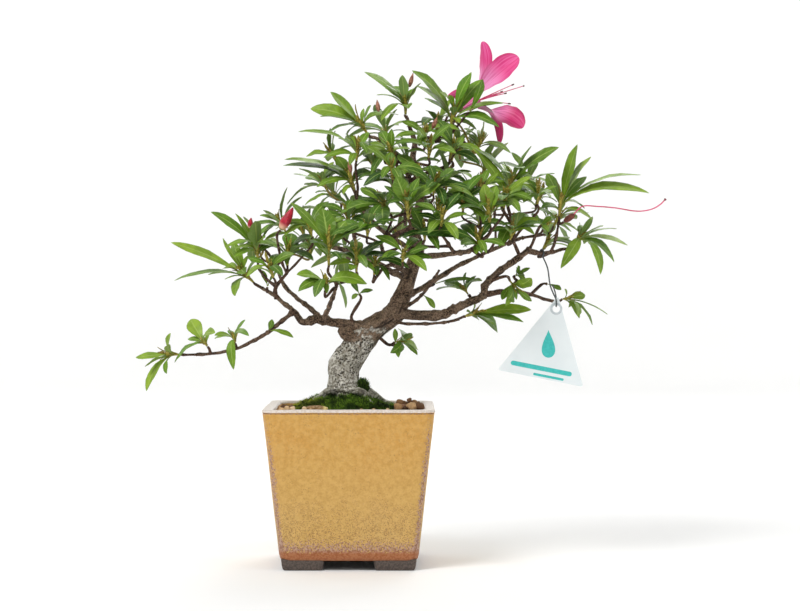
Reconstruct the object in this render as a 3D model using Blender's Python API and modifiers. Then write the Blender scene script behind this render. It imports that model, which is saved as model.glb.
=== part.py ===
# A satsuki azalea bonsai in its glazed square pot, 336 mm high over all.
# Metres in Blender, +Z up. The lists below are in millimetres from the pot's own axis, front at -Y.
# The origin lies under the middle of tree and pot together, on the surface that the feet stand on.

import math
import random

import bmesh
import bpy
import numpy as np
from mathutils import Matrix, Vector, noise
from mathutils.bvhtree import BVHTree

MM = 0.001
GAP = 0.35

# Where the pot's axis stands from the origin
POT_X = -32.0
POT_Y = -6.0

# Where the tree is looked at from: the places of leaf tips and branches are noted as seen from here
EYE_X = 32.4
EYE_Z = 180.6
EYE_AWAY = 1364.0

# The pot, which is square in plan and tapers to its four corner feet
GROUND = -3.4
POT_HEIGHT = 99.0
FOOT_HEIGHT = GROUND + 6.3
POT_TOP_SIDE = 108.4
POT_BASE_SIDE = 88.0
CORNER = 6.0
LIP_HEIGHT = 3.2
LIP_SIDE = 110.0
WALL = 7.0
FLOOR = 8.0
DRAIN_RADIUS = 8.0
FOOT_SIDE = 27.0
FOOT_LEG = 11.0

# Soil, moss and the trunk's foot
SOIL_EDGE = 94.6
SOIL_HALF = 60.0
SOIL_CELLS = 12
MOUND_HEIGHT = 8.0
MOUND_RADIUS = 44.0
TRUNK_X = -3.5
HOLE_BOTTOM = 72.0
RECESS_SIDE = 27.0
RECESS_HEIGHT = 3.4
FOOT_LOBES = 5
MOSS_RADIUS = 33.0
MOSS_THICK = 5.6

# The stones: place and height over the soil, size, turn, seed and colour
STONES = {
    "stone_long": ((-21, -41, 0.4), (17, 8, 6), 0.1, 3, (0.45, 0.3, 0.16)),
    "stone_grey": ((33, -38, 0.4), (11, 9, 8), 0.4, 5, (0.25, 0.2, 0.17)),
    "stone_tan": ((42, -28, 0.15), (8, 7, 6), 1.2, 8, (0.5, 0.33, 0.2)),
}

# The leaf: its width to its length, and the rib's thickness
LEAF_WIDTH = 0.27
RIB = 1.1
LEAF_STATIONS = (0.0, 0.4, 0.78)
LEAF_SPREAD = (0.1, 0.98, 0.74)
FOLD = 0.14

# The trunk, from its foot in the soil: x, y, z and radius
TRUNK = [
    (-3.5, 0, 76, 10.5),
    (-3.5, 0, 90, 12.5),
    (-3.5, 0, 101, 14.6),
    (-3.5, 0, 107, 14.2),
    (-4, 0, 112, 11.6),
    (-4, 0, 118, 10.1),
    (-3, 0, 127, 9.9),
    (3, 0, 135, 9.7),
    (8, 0, 142, 9.9),
    (16, 0, 149, 8.6),
    (25, 0, 156, 7.2),
    (31, 0, 163, 6.2),
    (35, 0, 174, 5.2),
    (40, 0, 188, 4.4),
    (44, 0, 201, 4.0),
    (42, -1, 213, 3.4),
    (44, -3, 225, 2.7),
    (46, -4, 237, 2.3),
    (43, -4, 249, 2.0),
    (41, -3, 260, 1.7),
    (42, -3, 270, 1.5),
    (39, -4, 279, 1.2),
    (37, -5, 286, 1.0),
]

# The branches that can be followed by eye: the radius where each starts and ends, then its route
BRANCHES = {
    "left_main": (3.6, 1.0, [(12, 0, 147), (2, -2, 151), (-11, -4, 153), (-21, -6, 155), (-31, -8, 153),
                             (-36, -8, 159), (-40, -9, 163), (-49, -10, 170), (-57, -9, 175)]),
    "low_left": (1.5, 0.9, [(-37, -8, 160), (-46, -9, 153), (-54, -10, 146), (-63, -11, 141),
                            (-74, -12, 136), (-86, -12, 133), (-100, -11, 132)]),
    "left_dark": (1.8, 1.0, [(-19, -6, 155), (-25, 0, 161), (-34, 6, 168), (-43, 10, 177), (-48, 13, 190)]),
    "left_front": (1.9, 1.0, [(-13, -4, 153), (-16, -16, 157), (-14, -30, 163), (-11, -42, 170),
                              (-9, -50, 178)]),
    "right_main": (3.4, 1.7, [(24, 0, 155), (34, -2, 158), (56, -8, 158), (68, -10, 161), (78, -12, 166),
                              (87, -14, 171), (89, -14, 178), (97, -15, 186), (107, -16, 193),
                              (117, -13, 201)]),
    "right_tip": (1.5, 0.9, [(115, -14, 200), (126, -9, 198), (136, -3, 200), (143, 2, 201)]),
    "front_arm": (2.3, 1.2, [(42, -1, 206), (39, -12, 202), (46, -20, 197), (55, -26, 196), (68, -32, 198),
                             (78, -38, 200), (86, -43, 206)]),
    "low_whip": (1.1, 0.8, [(27, 0, 154), (36, -7, 152), (49, -10, 152), (62, -12, 153), (71, -14, 155)]),
    "red_twig": (1.3, 0.8, [(32, -2, 161), (44, -12, 168), (52, -18, 178), (58, -22, 187)]),
    "top_left": (1.7, 0.9, [(45, -3, 232), (38, -8, 247), (30, -12, 262), (22, -14, 271), (12, -15, 274)]),
    "left_high": (1.9, 1.0, [(42, 0, 197), (32, -6, 205), (20, -11, 213), (10, -14, 224), (4, -17, 234)]),
    "back_high": (2.1, 1.0, [(44, 0, 206), (42, 14, 218), (38, 28, 232), (32, 38, 250), (26, 42, 266)]),
    "back_left": (2.2, 1.0, [(37, 0, 180), (24, 16, 188), (8, 30, 196), (-12, 42, 202), (-30, 48, 206)]),
    "back_right": (2.2, 1.0, [(33, 0, 168), (48, 16, 176), (68, 30, 188), (92, 40, 200), (112, 44, 208)]),
    "front_left": (1.8, 0.9, [(38, 0, 184), (30, -14, 190), (22, -26, 198), (20, -36, 205)]),
}

# The leafy sprays. Each has its foot (x, y, z), the way its shoot points, its shoot's length, the tips
# of its leaves as seen from the front (x, z and, if it isn't the usual, the width), and how many more
# leaves are drawn by rule.
UP = (0.0, 0.0, 1.0)
SPRAYS = {
    "top": ((36, -5, 288), UP, 11, [(9, 316), (34, 314, 9), (46, 309), (23, 306), (17, 301), (20, 284)], 0),
    "top_left_a": ((11, -15, 276), (-0.5, -0.2, 0.8), 12,
                   [(-13, 303, 10), (-26, 292), (-20, 287), (-11, 289), (-15, 276), (32, 288)], 0),
    "top_left_b": ((4, -25, 258), (0.1, -0.3, 1.0), 12,
                   [(-34, 277, 7), (-8, 273), (-3, 276), (10, 275), (16, 266)], 0),
    "top_left_c": ((3, -19, 239), (-0.3, -0.2, 0.9), 12,
                   [(-43, 259, 9), (-44, 255, 9), (-22, 241), (-9, 261, 7), (18, 248, 10)], 0),
    "top_mid": ((30, -24, 257), (-0.4, -0.5, 0.9), 14,
                [(27, 279), (20, 278), (8, 267), (8, 261), (39, 266)], 0),
    "crown_front": ((51, -34, 260), (0.1, -0.4, 1.0), 10,
                    [(54, 271), (69, 263), (42, 271), (33, 271), (63, 269)], 0),
    "crown_back": ((57, 8, 276), (0.0, 0.3, 1.0), 10, [(47, 281), (49, 291), (63, 287)], 2),
    "by_flower": ((65, -16, 278), (0.2, -0.2, 1.0), 14,
                  [(79, 316, 9), (86, 311), (100, 296, 7), (97, 280), (40, 317), (43, 307), (48, 299)], 0),
    "right_back": ((87, 12, 248), (0.1, 0.3, 1.0), 10, [(70, 259, 9), (103, 270, 11), (95, 244)], 2),
    "right_high": ((103, -20, 237), (0.2, -0.1, 1.0), 12,
                   [(77, 268, 10), (136, 267, 11), (118, 268), (100, 258), (113, 234)], 0),
    "right_front": ((91, -50, 216), (-0.1, -0.3, 1.0), 14,
                    [(66, 237), (68, 231), (70, 227), (87, 243, 9), (95, 242, 9), (104, 230)], 0),
    "front_low": ((85, -54, 200), (-0.2, -0.5, 0.8), 10, [(42, 211, 10), (73, 217), (101, 203)], 1),
    "centre_front": ((38, -60, 220), (-0.1, -0.3, 1.0), 14,
                     [(30, 248, 10), (45, 247), (22, 242), (59, 243, 12), (55, 226), (24, 232)], 0),
    "centre_high": ((54, -46, 236), (0.2, -0.5, 0.9), 10, [(68, 253, 8), (77, 241), (61, 230)], 2),
    "centre_left": ((25, -34, 224), (-0.4, -0.3, 0.9), 10, [(9, 242), (16, 237), (5, 233), (22, 216, 10)], 1),
    "left_top": ((2, 12, 219), (0.0, 0.2, 1.0), 10, [(-16, 236), (5, 236, 7), (17, 227), (12, 216)], 1),
    "left_front_a": ((-14, -60, 190), (0.0, -0.2, 1.0), 20,
                     [(-39, 231, 9), (-18, 227, 12), (-3, 219, 12), (19, 216, 9), (-26, 205, 9), (4, 196)], 0),
    "left_front_b": ((4, -50, 186), (0.0, -0.4, 1.0), 13,
                     [(4, 206, 8), (-8, 197), (29, 195, 9), (22, 205, 8), (16, 186)], 1),
    "left_front_c": ((-16, -68, 174), (0.0, -0.5, 0.9), 10,
                     [(-35, 184, 9), (-34, 173), (11, 178, 10), (-3, 162)], 1),
    "left_mid": ((-41, -22, 190), (0.1, -0.2, 1.0), 12,
                 [(-52, 207, 9), (-38, 211, 9), (-28, 202), (-24, 193), (-49, 188)], 1),
    "left_high_a": ((-60, -24, 193), (-0.1, -0.3, 1.0), 12,
                    [(-91, 225, 7), (-75, 224), (-62, 219, 11), (-43, 203, 9)], 0),
    "left_outer": ((-63, -7, 179), (-0.7, -0.1, 0.7), 12,
                   [(-117, 205, 8), (-83, 208, 5), (-115, 180, 9), (-93, 184), (-82, 181), (-75, 170, 10),
                    (-76, 206)], 0),
    "low_tip": ((-112, -11, 132), (-1.0, 0.0, 0.1), 8,
                [(-140, 130, 6), (-133, 108, 7), (-134, 124, 5), (-117, 146)], 0),
    "low_mid": ((-93, -15, 137), (-0.6, -0.2, 0.8), 7, [(-104, 155, 9), (-106, 142), (-88, 146)], 1),
    "low_near": ((-75, -11, 139), (-0.2, -0.1, 1.0), 6,
                 [(-79, 148, 4), (-69, 149, 4), (-76, 122, 6), (-66, 144, 4)], 0),
    "right_top": ((122, -27, 230), (0.0, -0.2, 1.0), 11,
                  [(102, 228, 8), (105, 240), (113, 246), (131, 237)], 1),
    "right_end": ((136, -10, 222), (0.1, -0.1, 1.0), 14,
                  [(128, 250, 11), (148, 269, 10), (157, 261, 10), (154, 248, 9), (195, 237, 9), (190, 249, 7)], 0),
    "right_low": ((146, 4, 203), (0.5, 0.0, 0.8), 10,
                  [(158, 222, 5), (165, 216), (174, 214, 4), (181, 203), (172, 192, 8), (163, 184, 8),
                   (137, 188, 7)], 0),
    "right_inner": ((107, -24, 211), (0.1, -0.3, 1.0), 8,
                    [(110, 225, 8), (97, 202, 8), (99, 216), (116, 223)], 0),
    "under_right": ((104, -24, 180), (0.3, -0.4, -0.4), 6, [(103, 168, 9), (108, 189, 6), (118, 182, 8)], 0),
    "behind_tag": ((138, 2, 168), (0.8, 0.1, 0.2), 7,
                   [(153, 171, 6), (168, 158, 6), (158, 151, 7), (148, 157, 5)], 0),
    "low_right": ((75, -15, 157), (0.9, -0.3, 0.4), 8,
                  [(118, 161, 8), (113, 153, 6), (96, 146, 10), (94, 151, 5)], 0),
    "mid_right": ((77, -4, 171), (-0.5, 0.2, 0.7), 7, [(56, 174, 8), (61, 179, 8), (86, 180, 6)], 0),
    "on_trunk": ((29, 0, 140), (0.8, 0.0, 0.2), 6,
                 [(26, 133, 6), (44, 135, 6), (34, 142, 5), (31, 149, 6)], 0),
    "back_a": ((24, 46, 272), (-0.2, 0.4, 1.0), 11, [], 6),
    "back_b": ((66, 52, 258), (0.2, 0.4, 0.9), 11, [], 6),
    "back_c": ((-8, 56, 232), (-0.4, 0.4, 0.8), 11, [], 6),
    "back_d": ((100, 56, 232), (0.3, 0.4, 0.9), 11, [], 6),
    "back_e": ((-42, 54, 212), (-0.5, 0.4, 0.8), 11, [], 6),
    "back_f": ((36, 72, 220), (0.0, 0.8, 0.7), 11, [], 6),
    "back_g": ((126, 48, 214), (0.6, 0.3, 0.7), 11, [], 6),
    "back_h": ((-2, 66, 196), (-0.3, 0.8, 0.4), 11, [], 6),
}

# Side shoots that fork from a spray's own shoot into the crown: the spray, then where each ends
# and the way it points there. SIDE_TIP is the leafy end's length.
SIDE_SHOOTS = [
    ("right_back", (72, 22, 262), (0.0, 0.4, 1.0)),
    ("right_back", (80, 28, 234), (0.1, 0.6, 0.8)),
    ("right_high", (114, 6, 240), (0.3, 0.3, 1.0)),
    ("by_flower", (82, -8, 264), (0.4, 0.0, 1.0)),
    ("left_top", (-15, 9, 239), (-0.5, 0.1, 0.9)),
    ("centre_left", (28, -12, 238), (0.0, 0.1, 1.0)),
    ("centre_high", (62, -22, 240), (0.1, 0.2, 1.0)),
    ("left_outer", (-58, 14, 202), (-0.3, 0.4, 0.9)),
    ("left_mid", (-26, -2, 196), (0.1, 0.3, 0.9)),
    ("back_f", (58, 56, 210), (0.4, 0.4, 0.8)),
    ("back_d", (86, 40, 214), (0.0, 0.3, 1.0)),
]
SIDE_TIP = 8.0
CROWN_FRONT = -87.0
SIDE_LEAVES = 4

# How often a leaf or a stem is drawn again before it is left out, and how much narrower a leaf gets each time
LEAF_TRIES = 300
STEM_TRIES = 100
NARROWING = 0.0013
RULE_REACH = 25.0

# What a twig's way back along the wood counts, and what it counts to leave from above
BACK_SHARE = 0.22
DROP_COST = 18.0
GOLDEN_ANGLE = 2.39996

# The open flower: its tube's foot and throat, then each petal's tip, width and sideways turn
FLOWER_FOOT = (68, 6, 290)
FLOWER_THROAT = (83, 6, 298)
PETALS = [
    ((86, 2, 336), 9.0, 1.2),
    ((108, -8, 325), 15.0, 0.5),
    ((111, -10, 279), 15.0, -0.4),
    ((98, 12, 271), 9.0, -1.2),
    ((66, 26, 311), 13.0, 0.0),
]
STAMENS = [(106, 4, 308), (101, 0, 302), (104, 8, 296), (99, 10, 304), (113, 2, 307)]

# The style that is left of a second flower, with the dry calyx that holds it
STYLE = [(146, -14, 224), (150, -14, 228), (160, -13, 228), (172, -12, 227), (185, -12, 225), (194, -12, 226),
         (200, -12, 229), (204, -12, 233)]
OLD_CALYX = ((138, -13, 218), (144.5, -14, 222.8))

# Two closed buds: foot, tip and greatest radius
BUDS = {
    "bud_large": ((-43, -40, 212), (-35, -42, 226.5), 3.1),
    "bud_small": ((-65, -6, 214), (-64, -8, 221), 1.6),
}

# The tag, an upright plate that hangs on its wire from the right branch
TAG_CORNERS = [(136, 179), (88, 120), (156, 106.5)]
TAG_ROUND = 5.0
TAG_THICK = 1.0
TAG_Y = -16.0
TAG_HOLE = (133, 162)
TAG_HOLE_RADIUS = 2.4
WIRE_RADIUS = 0.45

PARTS = "satsuki_azalea_bonsai"


def material(name, colour, roughness, metallic=0.0):
    shader = bpy.data.materials.get(name)
    if shader is None:
        shader = bpy.data.materials.new(name)
        shader.use_nodes = True
        principled = shader.node_tree.nodes["Principled BSDF"]
        principled.inputs["Base Color"].default_value = (*colour, 1.0)
        principled.inputs["Roughness"].default_value = roughness
        principled.inputs["Metallic"].default_value = metallic
    return shader


def collection(name):
    found = bpy.data.collections.get(name)
    if found is None:
        found = bpy.data.collections.new(name)
        bpy.context.scene.collection.children.link(found)
    return found


def clear_scene():
    for obj in list(bpy.data.objects):
        bpy.data.objects.remove(obj, do_unlink=True)


def seen(x, y, z):
    # A place noted in the plane of the pot's axis, moved along the line of sight to the depth y
    spread = 1.0 + y / EYE_AWAY
    return Vector((EYE_X + (x - EYE_X) * spread, y, EYE_Z + (z - EYE_Z) * spread))


def add_object(name, verts, faces, where=PARTS):
    """Makes a mesh object from millimetre points, with its faces pointing out."""
    mesh = bpy.data.meshes.new(name)
    mesh.from_pydata([tuple(Vector(v) * MM) for v in verts], [], faces)
    work = bmesh.new()
    work.from_mesh(mesh)
    bmesh.ops.recalc_face_normals(work, faces=work.faces)
    work.to_mesh(mesh)
    work.free()
    obj = bpy.data.objects.new(name, mesh)
    collection(where).objects.link(obj)
    return obj


def paint(obj, name, colour, roughness, metallic=0.0):
    obj.data.materials.clear()
    obj.data.materials.append(material(name, colour, roughness, metallic))


def tapered_box(name, low_side, high_side, z_low, z_high, corner, where=PARTS, segments=3):
    work = bmesh.new()
    bmesh.ops.create_cube(work, size=1.0)
    for vert in work.verts:
        side = high_side if vert.co.z > 0 else low_side
        height = z_high if vert.co.z > 0 else z_low
        half = side / 2
        vert.co = Vector((math.copysign(half, vert.co.x), math.copysign(half, vert.co.y), height)) * MM
    upright = [edge for edge in work.edges if abs(edge.verts[0].co.z - edge.verts[1].co.z) > MM]
    if corner:
        bmesh.ops.bevel(
            work, geom=upright, offset=corner * MM, segments=segments, profile=0.5, affect="EDGES"
        )
    mesh = bpy.data.meshes.new(name)
    work.to_mesh(mesh)
    work.free()
    obj = bpy.data.objects.new(name, mesh)
    collection(where).objects.link(obj)
    return obj


def cylinder(name, radius, z_low, z_high, sides=16, where="cutters"):
    work = bmesh.new()
    bmesh.ops.create_cone(
        work, cap_ends=True, segments=sides, radius1=radius * MM, radius2=radius * MM,
        depth=(z_high - z_low) * MM
    )
    bmesh.ops.translate(work, verts=work.verts, vec=(0, 0, (z_low + z_high) / 2 * MM))
    mesh = bpy.data.meshes.new(name)
    work.to_mesh(mesh)
    work.free()
    obj = bpy.data.objects.new(name, mesh)
    collection(where).objects.link(obj)
    return obj


def apply_modifiers(obj):
    graph = bpy.context.evaluated_depsgraph_get()
    mesh = bpy.data.meshes.new_from_object(obj.evaluated_get(graph))
    obj.modifiers.clear()
    obj.data = mesh


def boolean(obj, other, operation, solver="EXACT"):
    step = obj.modifiers.new(operation.lower(), "BOOLEAN")
    step.operation = operation
    step.solver = solver
    step.object = other
    apply_modifiers(obj)
    bpy.data.objects.remove(other, do_unlink=True)


def union_all(obj, pieces, solver="MANIFOLD"):
    """Joins the pieces to the object with one Boolean on their collection, then removes them."""
    if not pieces:
        return
    group = collection("joined")
    for piece in pieces:
        for owner in list(piece.users_collection):
            owner.objects.unlink(piece)
        group.objects.link(piece)
    step = obj.modifiers.new("joined", "BOOLEAN")
    step.operation = "UNION"
    step.operand_type = "COLLECTION"
    step.collection = group
    step.solver = solver
    apply_modifiers(obj)
    for piece in pieces:
        bpy.data.objects.remove(piece, do_unlink=True)


def shells(work):
    """The separate closed surfaces of a mesh, as lists of faces that meet edge to edge."""
    left, found = set(work.faces), []
    while left:
        seed = left.pop()
        shell, front = [seed], [seed]
        while front:
            for edge in front.pop().edges:
                for other in edge.link_faces:
                    if other in left:
                        left.discard(other)
                        shell.append(other)
                        front.append(other)
        found.append(shell)
    return found


def weld(obj):
    """Merges points that all but touch, fills sealed hollows and drops loose scraps."""
    for distance in (0.002, 0.006, 0.0, 0.02):
        work = bmesh.new()
        work.from_mesh(obj.data)
        if distance:
            bmesh.ops.remove_doubles(work, verts=work.verts, dist=distance * MM)
        for shell in sorted(shells(work), key=len)[:-1]:
            bmesh.ops.delete(work, geom=shell, context="FACES")
        bmesh.ops.triangulate(work, faces=work.faces)
        bmesh.ops.recalc_face_normals(work, faces=work.faces)
        closed = all(len(edge.link_faces) == 2 for edge in work.edges)
        if closed:
            work.to_mesh(obj.data)
        work.free()
        if closed:
            return


def frame_along(points, start_side=None):
    """Side and up vectors along a route, turned as little as possible from point to point."""
    tangents = []
    for i in range(len(points)):
        ahead = points[min(i + 1, len(points) - 1)] - points[max(i - 1, 0)]
        tangents.append(ahead.normalized())
    side = start_side or tangents[0].orthogonal().normalized()
    frames = []
    for tangent in tangents:
        side = (side - side.dot(tangent) * tangent).normalized()
        frames.append((tangent, side, tangent.cross(side)))
    return frames


def tube_mesh(points, radii, sides, pointed=False):
    """A tube of many flat sides through the points, closed at both ends."""
    verts, faces = [], []
    frames = frame_along(points)
    rings = len(points) - 1 if pointed else len(points)
    for i in range(rings):
        _, side, up = frames[i]
        for k in range(sides):
            turn = math.tau * k / sides
            verts.append(points[i] + (side * math.cos(turn) + up * math.sin(turn)) * radii[i])
    for i in range(rings - 1):
        for k in range(sides):
            after = (k + 1) % sides
            faces.append((i * sides + k, i * sides + after, (i + 1) * sides + after, (i + 1) * sides + k))
    faces.append(tuple(reversed(range(sides))))
    last = (rings - 1) * sides
    if pointed:
        verts.append(points[-1])
        faces += [(last + k, last + (k + 1) % sides, len(verts) - 1) for k in range(sides)]
    else:
        faces.append(tuple(range(last, last + sides)))
    return verts, faces


def bezier(a, b, c, d, t):
    u = 1.0 - t
    return a * u**3 + b * (3 * u * u * t) + c * (3 * u * t * t) + d * t**3


def curve_points(knots, count):
    """Points evenly spread on a smooth curve through the knots, a cardinal spline."""
    points = []
    spans = len(knots) - 1
    for i in range(count):
        place = spans * i / (count - 1)
        k = min(int(place), spans - 1)
        t = place - k
        before, here = knots[max(k - 1, 0)], knots[k]
        there, after = knots[k + 1], knots[min(k + 2, spans)]
        points.append(bezier(here, here + (there - before) / 6, there - (after - here) / 6, there, t))
    return points


def wire_object(name, points, radius, where=PARTS):
    """A round wire: a curve with a bevel, made a mesh with its caps welded."""
    curve = bpy.data.curves.new(name, "CURVE")
    curve.dimensions = "3D"
    curve.bevel_depth = radius * MM
    curve.bevel_resolution = 0
    curve.use_fill_caps = True
    spline = curve.splines.new("POLY")
    spline.points.add(len(points) - 1)
    for spot, point in zip(spline.points, points):
        spot.co = (*(point * MM), 1.0)
    guide = bpy.data.objects.new(name + "_route", curve)
    collection("cutters").objects.link(guide)
    graph = bpy.context.evaluated_depsgraph_get()
    mesh = bpy.data.meshes.new_from_object(guide.evaluated_get(graph))
    work = bmesh.new()
    work.from_mesh(mesh)
    bmesh.ops.remove_doubles(work, verts=work.verts, dist=1e-6)
    bmesh.ops.recalc_face_normals(work, faces=work.faces)
    work.to_mesh(mesh)
    work.free()
    obj = bpy.data.objects.new(name, mesh)
    collection(where).objects.link(obj)
    bpy.data.objects.remove(guide, do_unlink=True)
    return obj


def pot():
    body = tapered_box("pot", POT_BASE_SIDE, POT_TOP_SIDE, FOOT_HEIGHT, POT_HEIGHT - LIP_HEIGHT, CORNER)
    lip = tapered_box(
        "lip", LIP_SIDE - 0.4, LIP_SIDE, POT_HEIGHT - LIP_HEIGHT - 0.5, POT_HEIGHT, CORNER + 0.5, "cutters"
    )
    soften(lip, 1.2, 2)
    feet = [corner_foot(x, y) for x in (-1, 1) for y in (-1, 1)]
    union_all(body, [lip, *feet], "EXACT")
    inside = tapered_box(
        "inside", cavity_side(FOOT_HEIGHT + FLOOR), cavity_side(POT_HEIGHT + 4),
        FOOT_HEIGHT + FLOOR, POT_HEIGHT + 4, CORNER - 1, "cutters"
    )
    boolean(body, inside, "DIFFERENCE")
    boolean(body, cylinder("drain", DRAIN_RADIUS, GROUND - 5, FOOT_HEIGHT + FLOOR + 5, 20), "DIFFERENCE")
    weld(body)
    paint(body, "glaze", (0.62, 0.36, 0.09), 0.35)
    return body


def soften(obj, width, segments):
    step = obj.modifiers.new("soft_edges", "BEVEL")
    step.width = width * MM
    step.segments = segments
    step.limit_method = "ANGLE"
    step.angle_limit = math.radians(50)
    apply_modifiers(obj)


def cavity_side(z):
    # The inner wall keeps WALL from the outer one all the way up
    share = (z - FOOT_HEIGHT) / (POT_HEIGHT - FOOT_HEIGHT)
    return POT_BASE_SIDE + (POT_TOP_SIDE - POT_BASE_SIDE) * share - 2 * WALL


def corner_foot(x, y):
    # An L of two legs under each corner
    foot = tapered_box("foot", FOOT_SIDE - 2, FOOT_SIDE, GROUND, FOOT_HEIGHT + 2, 1.5, "cutters", 2)
    foot.data.transform(matrix_at(x * (POT_BASE_SIDE - FOOT_SIDE) / 2, y * (POT_BASE_SIDE - FOOT_SIDE) / 2))
    notch = tapered_box("notch", FOOT_SIDE, FOOT_SIDE, GROUND - 2, FOOT_HEIGHT + 4, 0, "cutters")
    shift = (POT_BASE_SIDE - FOOT_SIDE) / 2 - FOOT_LEG
    notch.data.transform(matrix_at(x * shift, y * shift))
    boolean(foot, notch, "DIFFERENCE")
    return foot


def matrix_at(x, y, z=0.0):
    return Matrix.Translation(Vector((x, y, z)) * MM)


def screen():
    """The plastic mesh over the drain hole."""
    z = FOOT_HEIGHT + FLOOR + GAP
    plate = tapered_box("drain_screen", 26, 26, z, z + 1.0, 0)
    holes = []
    for i in range(4):
        for k in range(4):
            hole = tapered_box("mesh_hole", 4, 4, z - 1, z + 2, 0, "cutters")
            hole.data.transform(matrix_at(6 * i - 9, 6 * k - 9))
            holes.append(hole)
    first = holes.pop()
    union_all(first, holes)
    boolean(plate, first, "DIFFERENCE")
    paint(plate, "mesh_plastic", (0.02, 0.02, 0.02), 0.6)
    return plate


def screen_clip():
    """The bent wire that holds the mesh: over it, through two holes and the drain, then out under the floor."""
    top = FOOT_HEIGHT + FLOOR + GAP + 1.0 + GAP + 0.6
    under = FOOT_HEIGHT - GAP - 0.6
    knots = [(-17, under), (-6, under), (-3, under + 1.5), (-3, top - 1.5), (-2, top), (2, top), (3, top - 1.5),
             (3, under + 1.5), (6, under), (17, under)]
    clip = wire_object("screen_wire", [Vector((x, -3.0, z)) for x, z in knots], 0.6)
    paint(clip, "clip_wire", (0.35, 0.33, 0.3), 0.5, 0.8)
    return clip


def mound(x, y):
    # The soil rises from the rim to the trunk's foot
    away = min(math.hypot(x - TRUNK_X, y) / MOUND_RADIUS, 1.0)
    return SOIL_EDGE + MOUND_HEIGHT * (0.5 + 0.5 * math.cos(math.pi * away))


def trunk_lobes(turn, share):
    # The roots swell the trunk's foot in a few uneven lobes
    wave = 0.6 * math.cos(FOOT_LOBES * turn + 0.9) + 0.4 * math.cos(3 * turn - 0.5)
    return 1.0 + share * wave


def trunk_mesh(sides=14):
    verts, faces = [], []
    points = [Vector(place[:3]) for place in TRUNK]
    frames = frame_along(points, Vector((1, 0, 0)))
    for i, (place, frame) in enumerate(zip(TRUNK, frames)):
        _, side, up = frame
        share = 0.2 if place[2] < 110 else max(0.0, 0.05 - (place[2] - 110) * 0.0008)
        for k in range(sides):
            turn = math.tau * k / sides
            radius = place[3] * trunk_lobes(turn, share)
            verts.append(points[i] + (side * math.cos(turn) + up * math.sin(turn)) * radius)
    for i in range(len(TRUNK) - 1):
        for k in range(sides):
            after = (k + 1) % sides
            faces.append((i * sides + k, i * sides + after, (i + 1) * sides + after, (i + 1) * sides + k))
    faces.append(tuple(reversed(range(sides))))
    last = (len(TRUNK) - 1) * sides
    faces.append(tuple(range(last, last + sides)))
    return verts, faces


def hole_mesh(grow, sides=14):
    # A plain upright hole, as wide all the way as the trunk's foot at its widest
    widest = max(place[3] for place in TRUNK)
    verts = []
    for z in (HOLE_BOTTOM, 130.0):
        for k in range(sides):
            turn = math.tau * k / sides
            radius = widest * trunk_lobes(turn, 0.2) + grow
            verts.append(Vector((TRUNK_X + radius * math.cos(turn), radius * math.sin(turn), z)))
    faces = [(k, (k + 1) % sides, sides + (k + 1) % sides, sides + k) for k in range(sides)]
    faces += [tuple(reversed(range(sides))), tuple(range(sides, 2 * sides))]
    return verts, faces


def soil():
    """The potting soil that fills the pot, with its grains in relief and a plain hole for the trunk."""
    low = FOOT_HEIGHT + FLOOR + GAP
    fill = tapered_box(
        "soil", cavity_side(low) - 2 * GAP, cavity_side(POT_HEIGHT + 20) - 2 * GAP, low, POT_HEIGHT + 20,
        CORNER - 1
    )
    cells = SOIL_CELLS
    verts, faces = [], []
    for i in range(cells + 1):
        for k in range(cells + 1):
            x, y = SOIL_HALF * (2 * i / cells - 1), SOIL_HALF * (2 * k / cells - 1)
            bare = min(max((math.hypot(x - TRUNK_X, y) - 1.2 * MOSS_RADIUS) / 5.0, 0.0), 1.0)
            grain = noise.noise(Vector((x * 0.31, y * 0.31, 0.0))) + 0.4 * noise.noise(Vector((x, y, 5.0)))
            verts.append((x, y, mound(x, y) + 1.1 * bare * grain))
    count = len(verts)
    verts += [(x, y, -20.0) for x, y, _ in verts]
    across = cells + 1
    for i in range(cells):
        for k in range(cells):
            quad = (i * across + k, (i + 1) * across + k, (i + 1) * across + k + 1, i * across + k + 1)
            faces.append(quad)
            faces.append(tuple(count + v for v in reversed(quad)))
    rim = ([k for k in range(cells)] + [i * across + cells for i in range(cells)]
           + [cells * across + cells - k for k in range(cells)]
           + [(cells - i) * across for i in range(cells)])
    for here, after in zip(rim, rim[1:] + rim[:1]):
        faces.append((here, after, count + after, count + here))
    boolean(fill, add_object("ground", verts, faces, "cutters"), "INTERSECT")
    recess = tapered_box("recess", RECESS_SIDE, RECESS_SIDE, GROUND, low + RECESS_HEIGHT, 0, "cutters")
    boolean(fill, recess, "DIFFERENCE", "MANIFOLD")
    boolean(fill, add_object("trunk_hole", *hole_mesh(0.4), "cutters"), "DIFFERENCE", "MANIFOLD")
    weld(fill)
    paint(fill, "potting_soil", (0.16, 0.1, 0.06), 0.95)
    return fill


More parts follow.
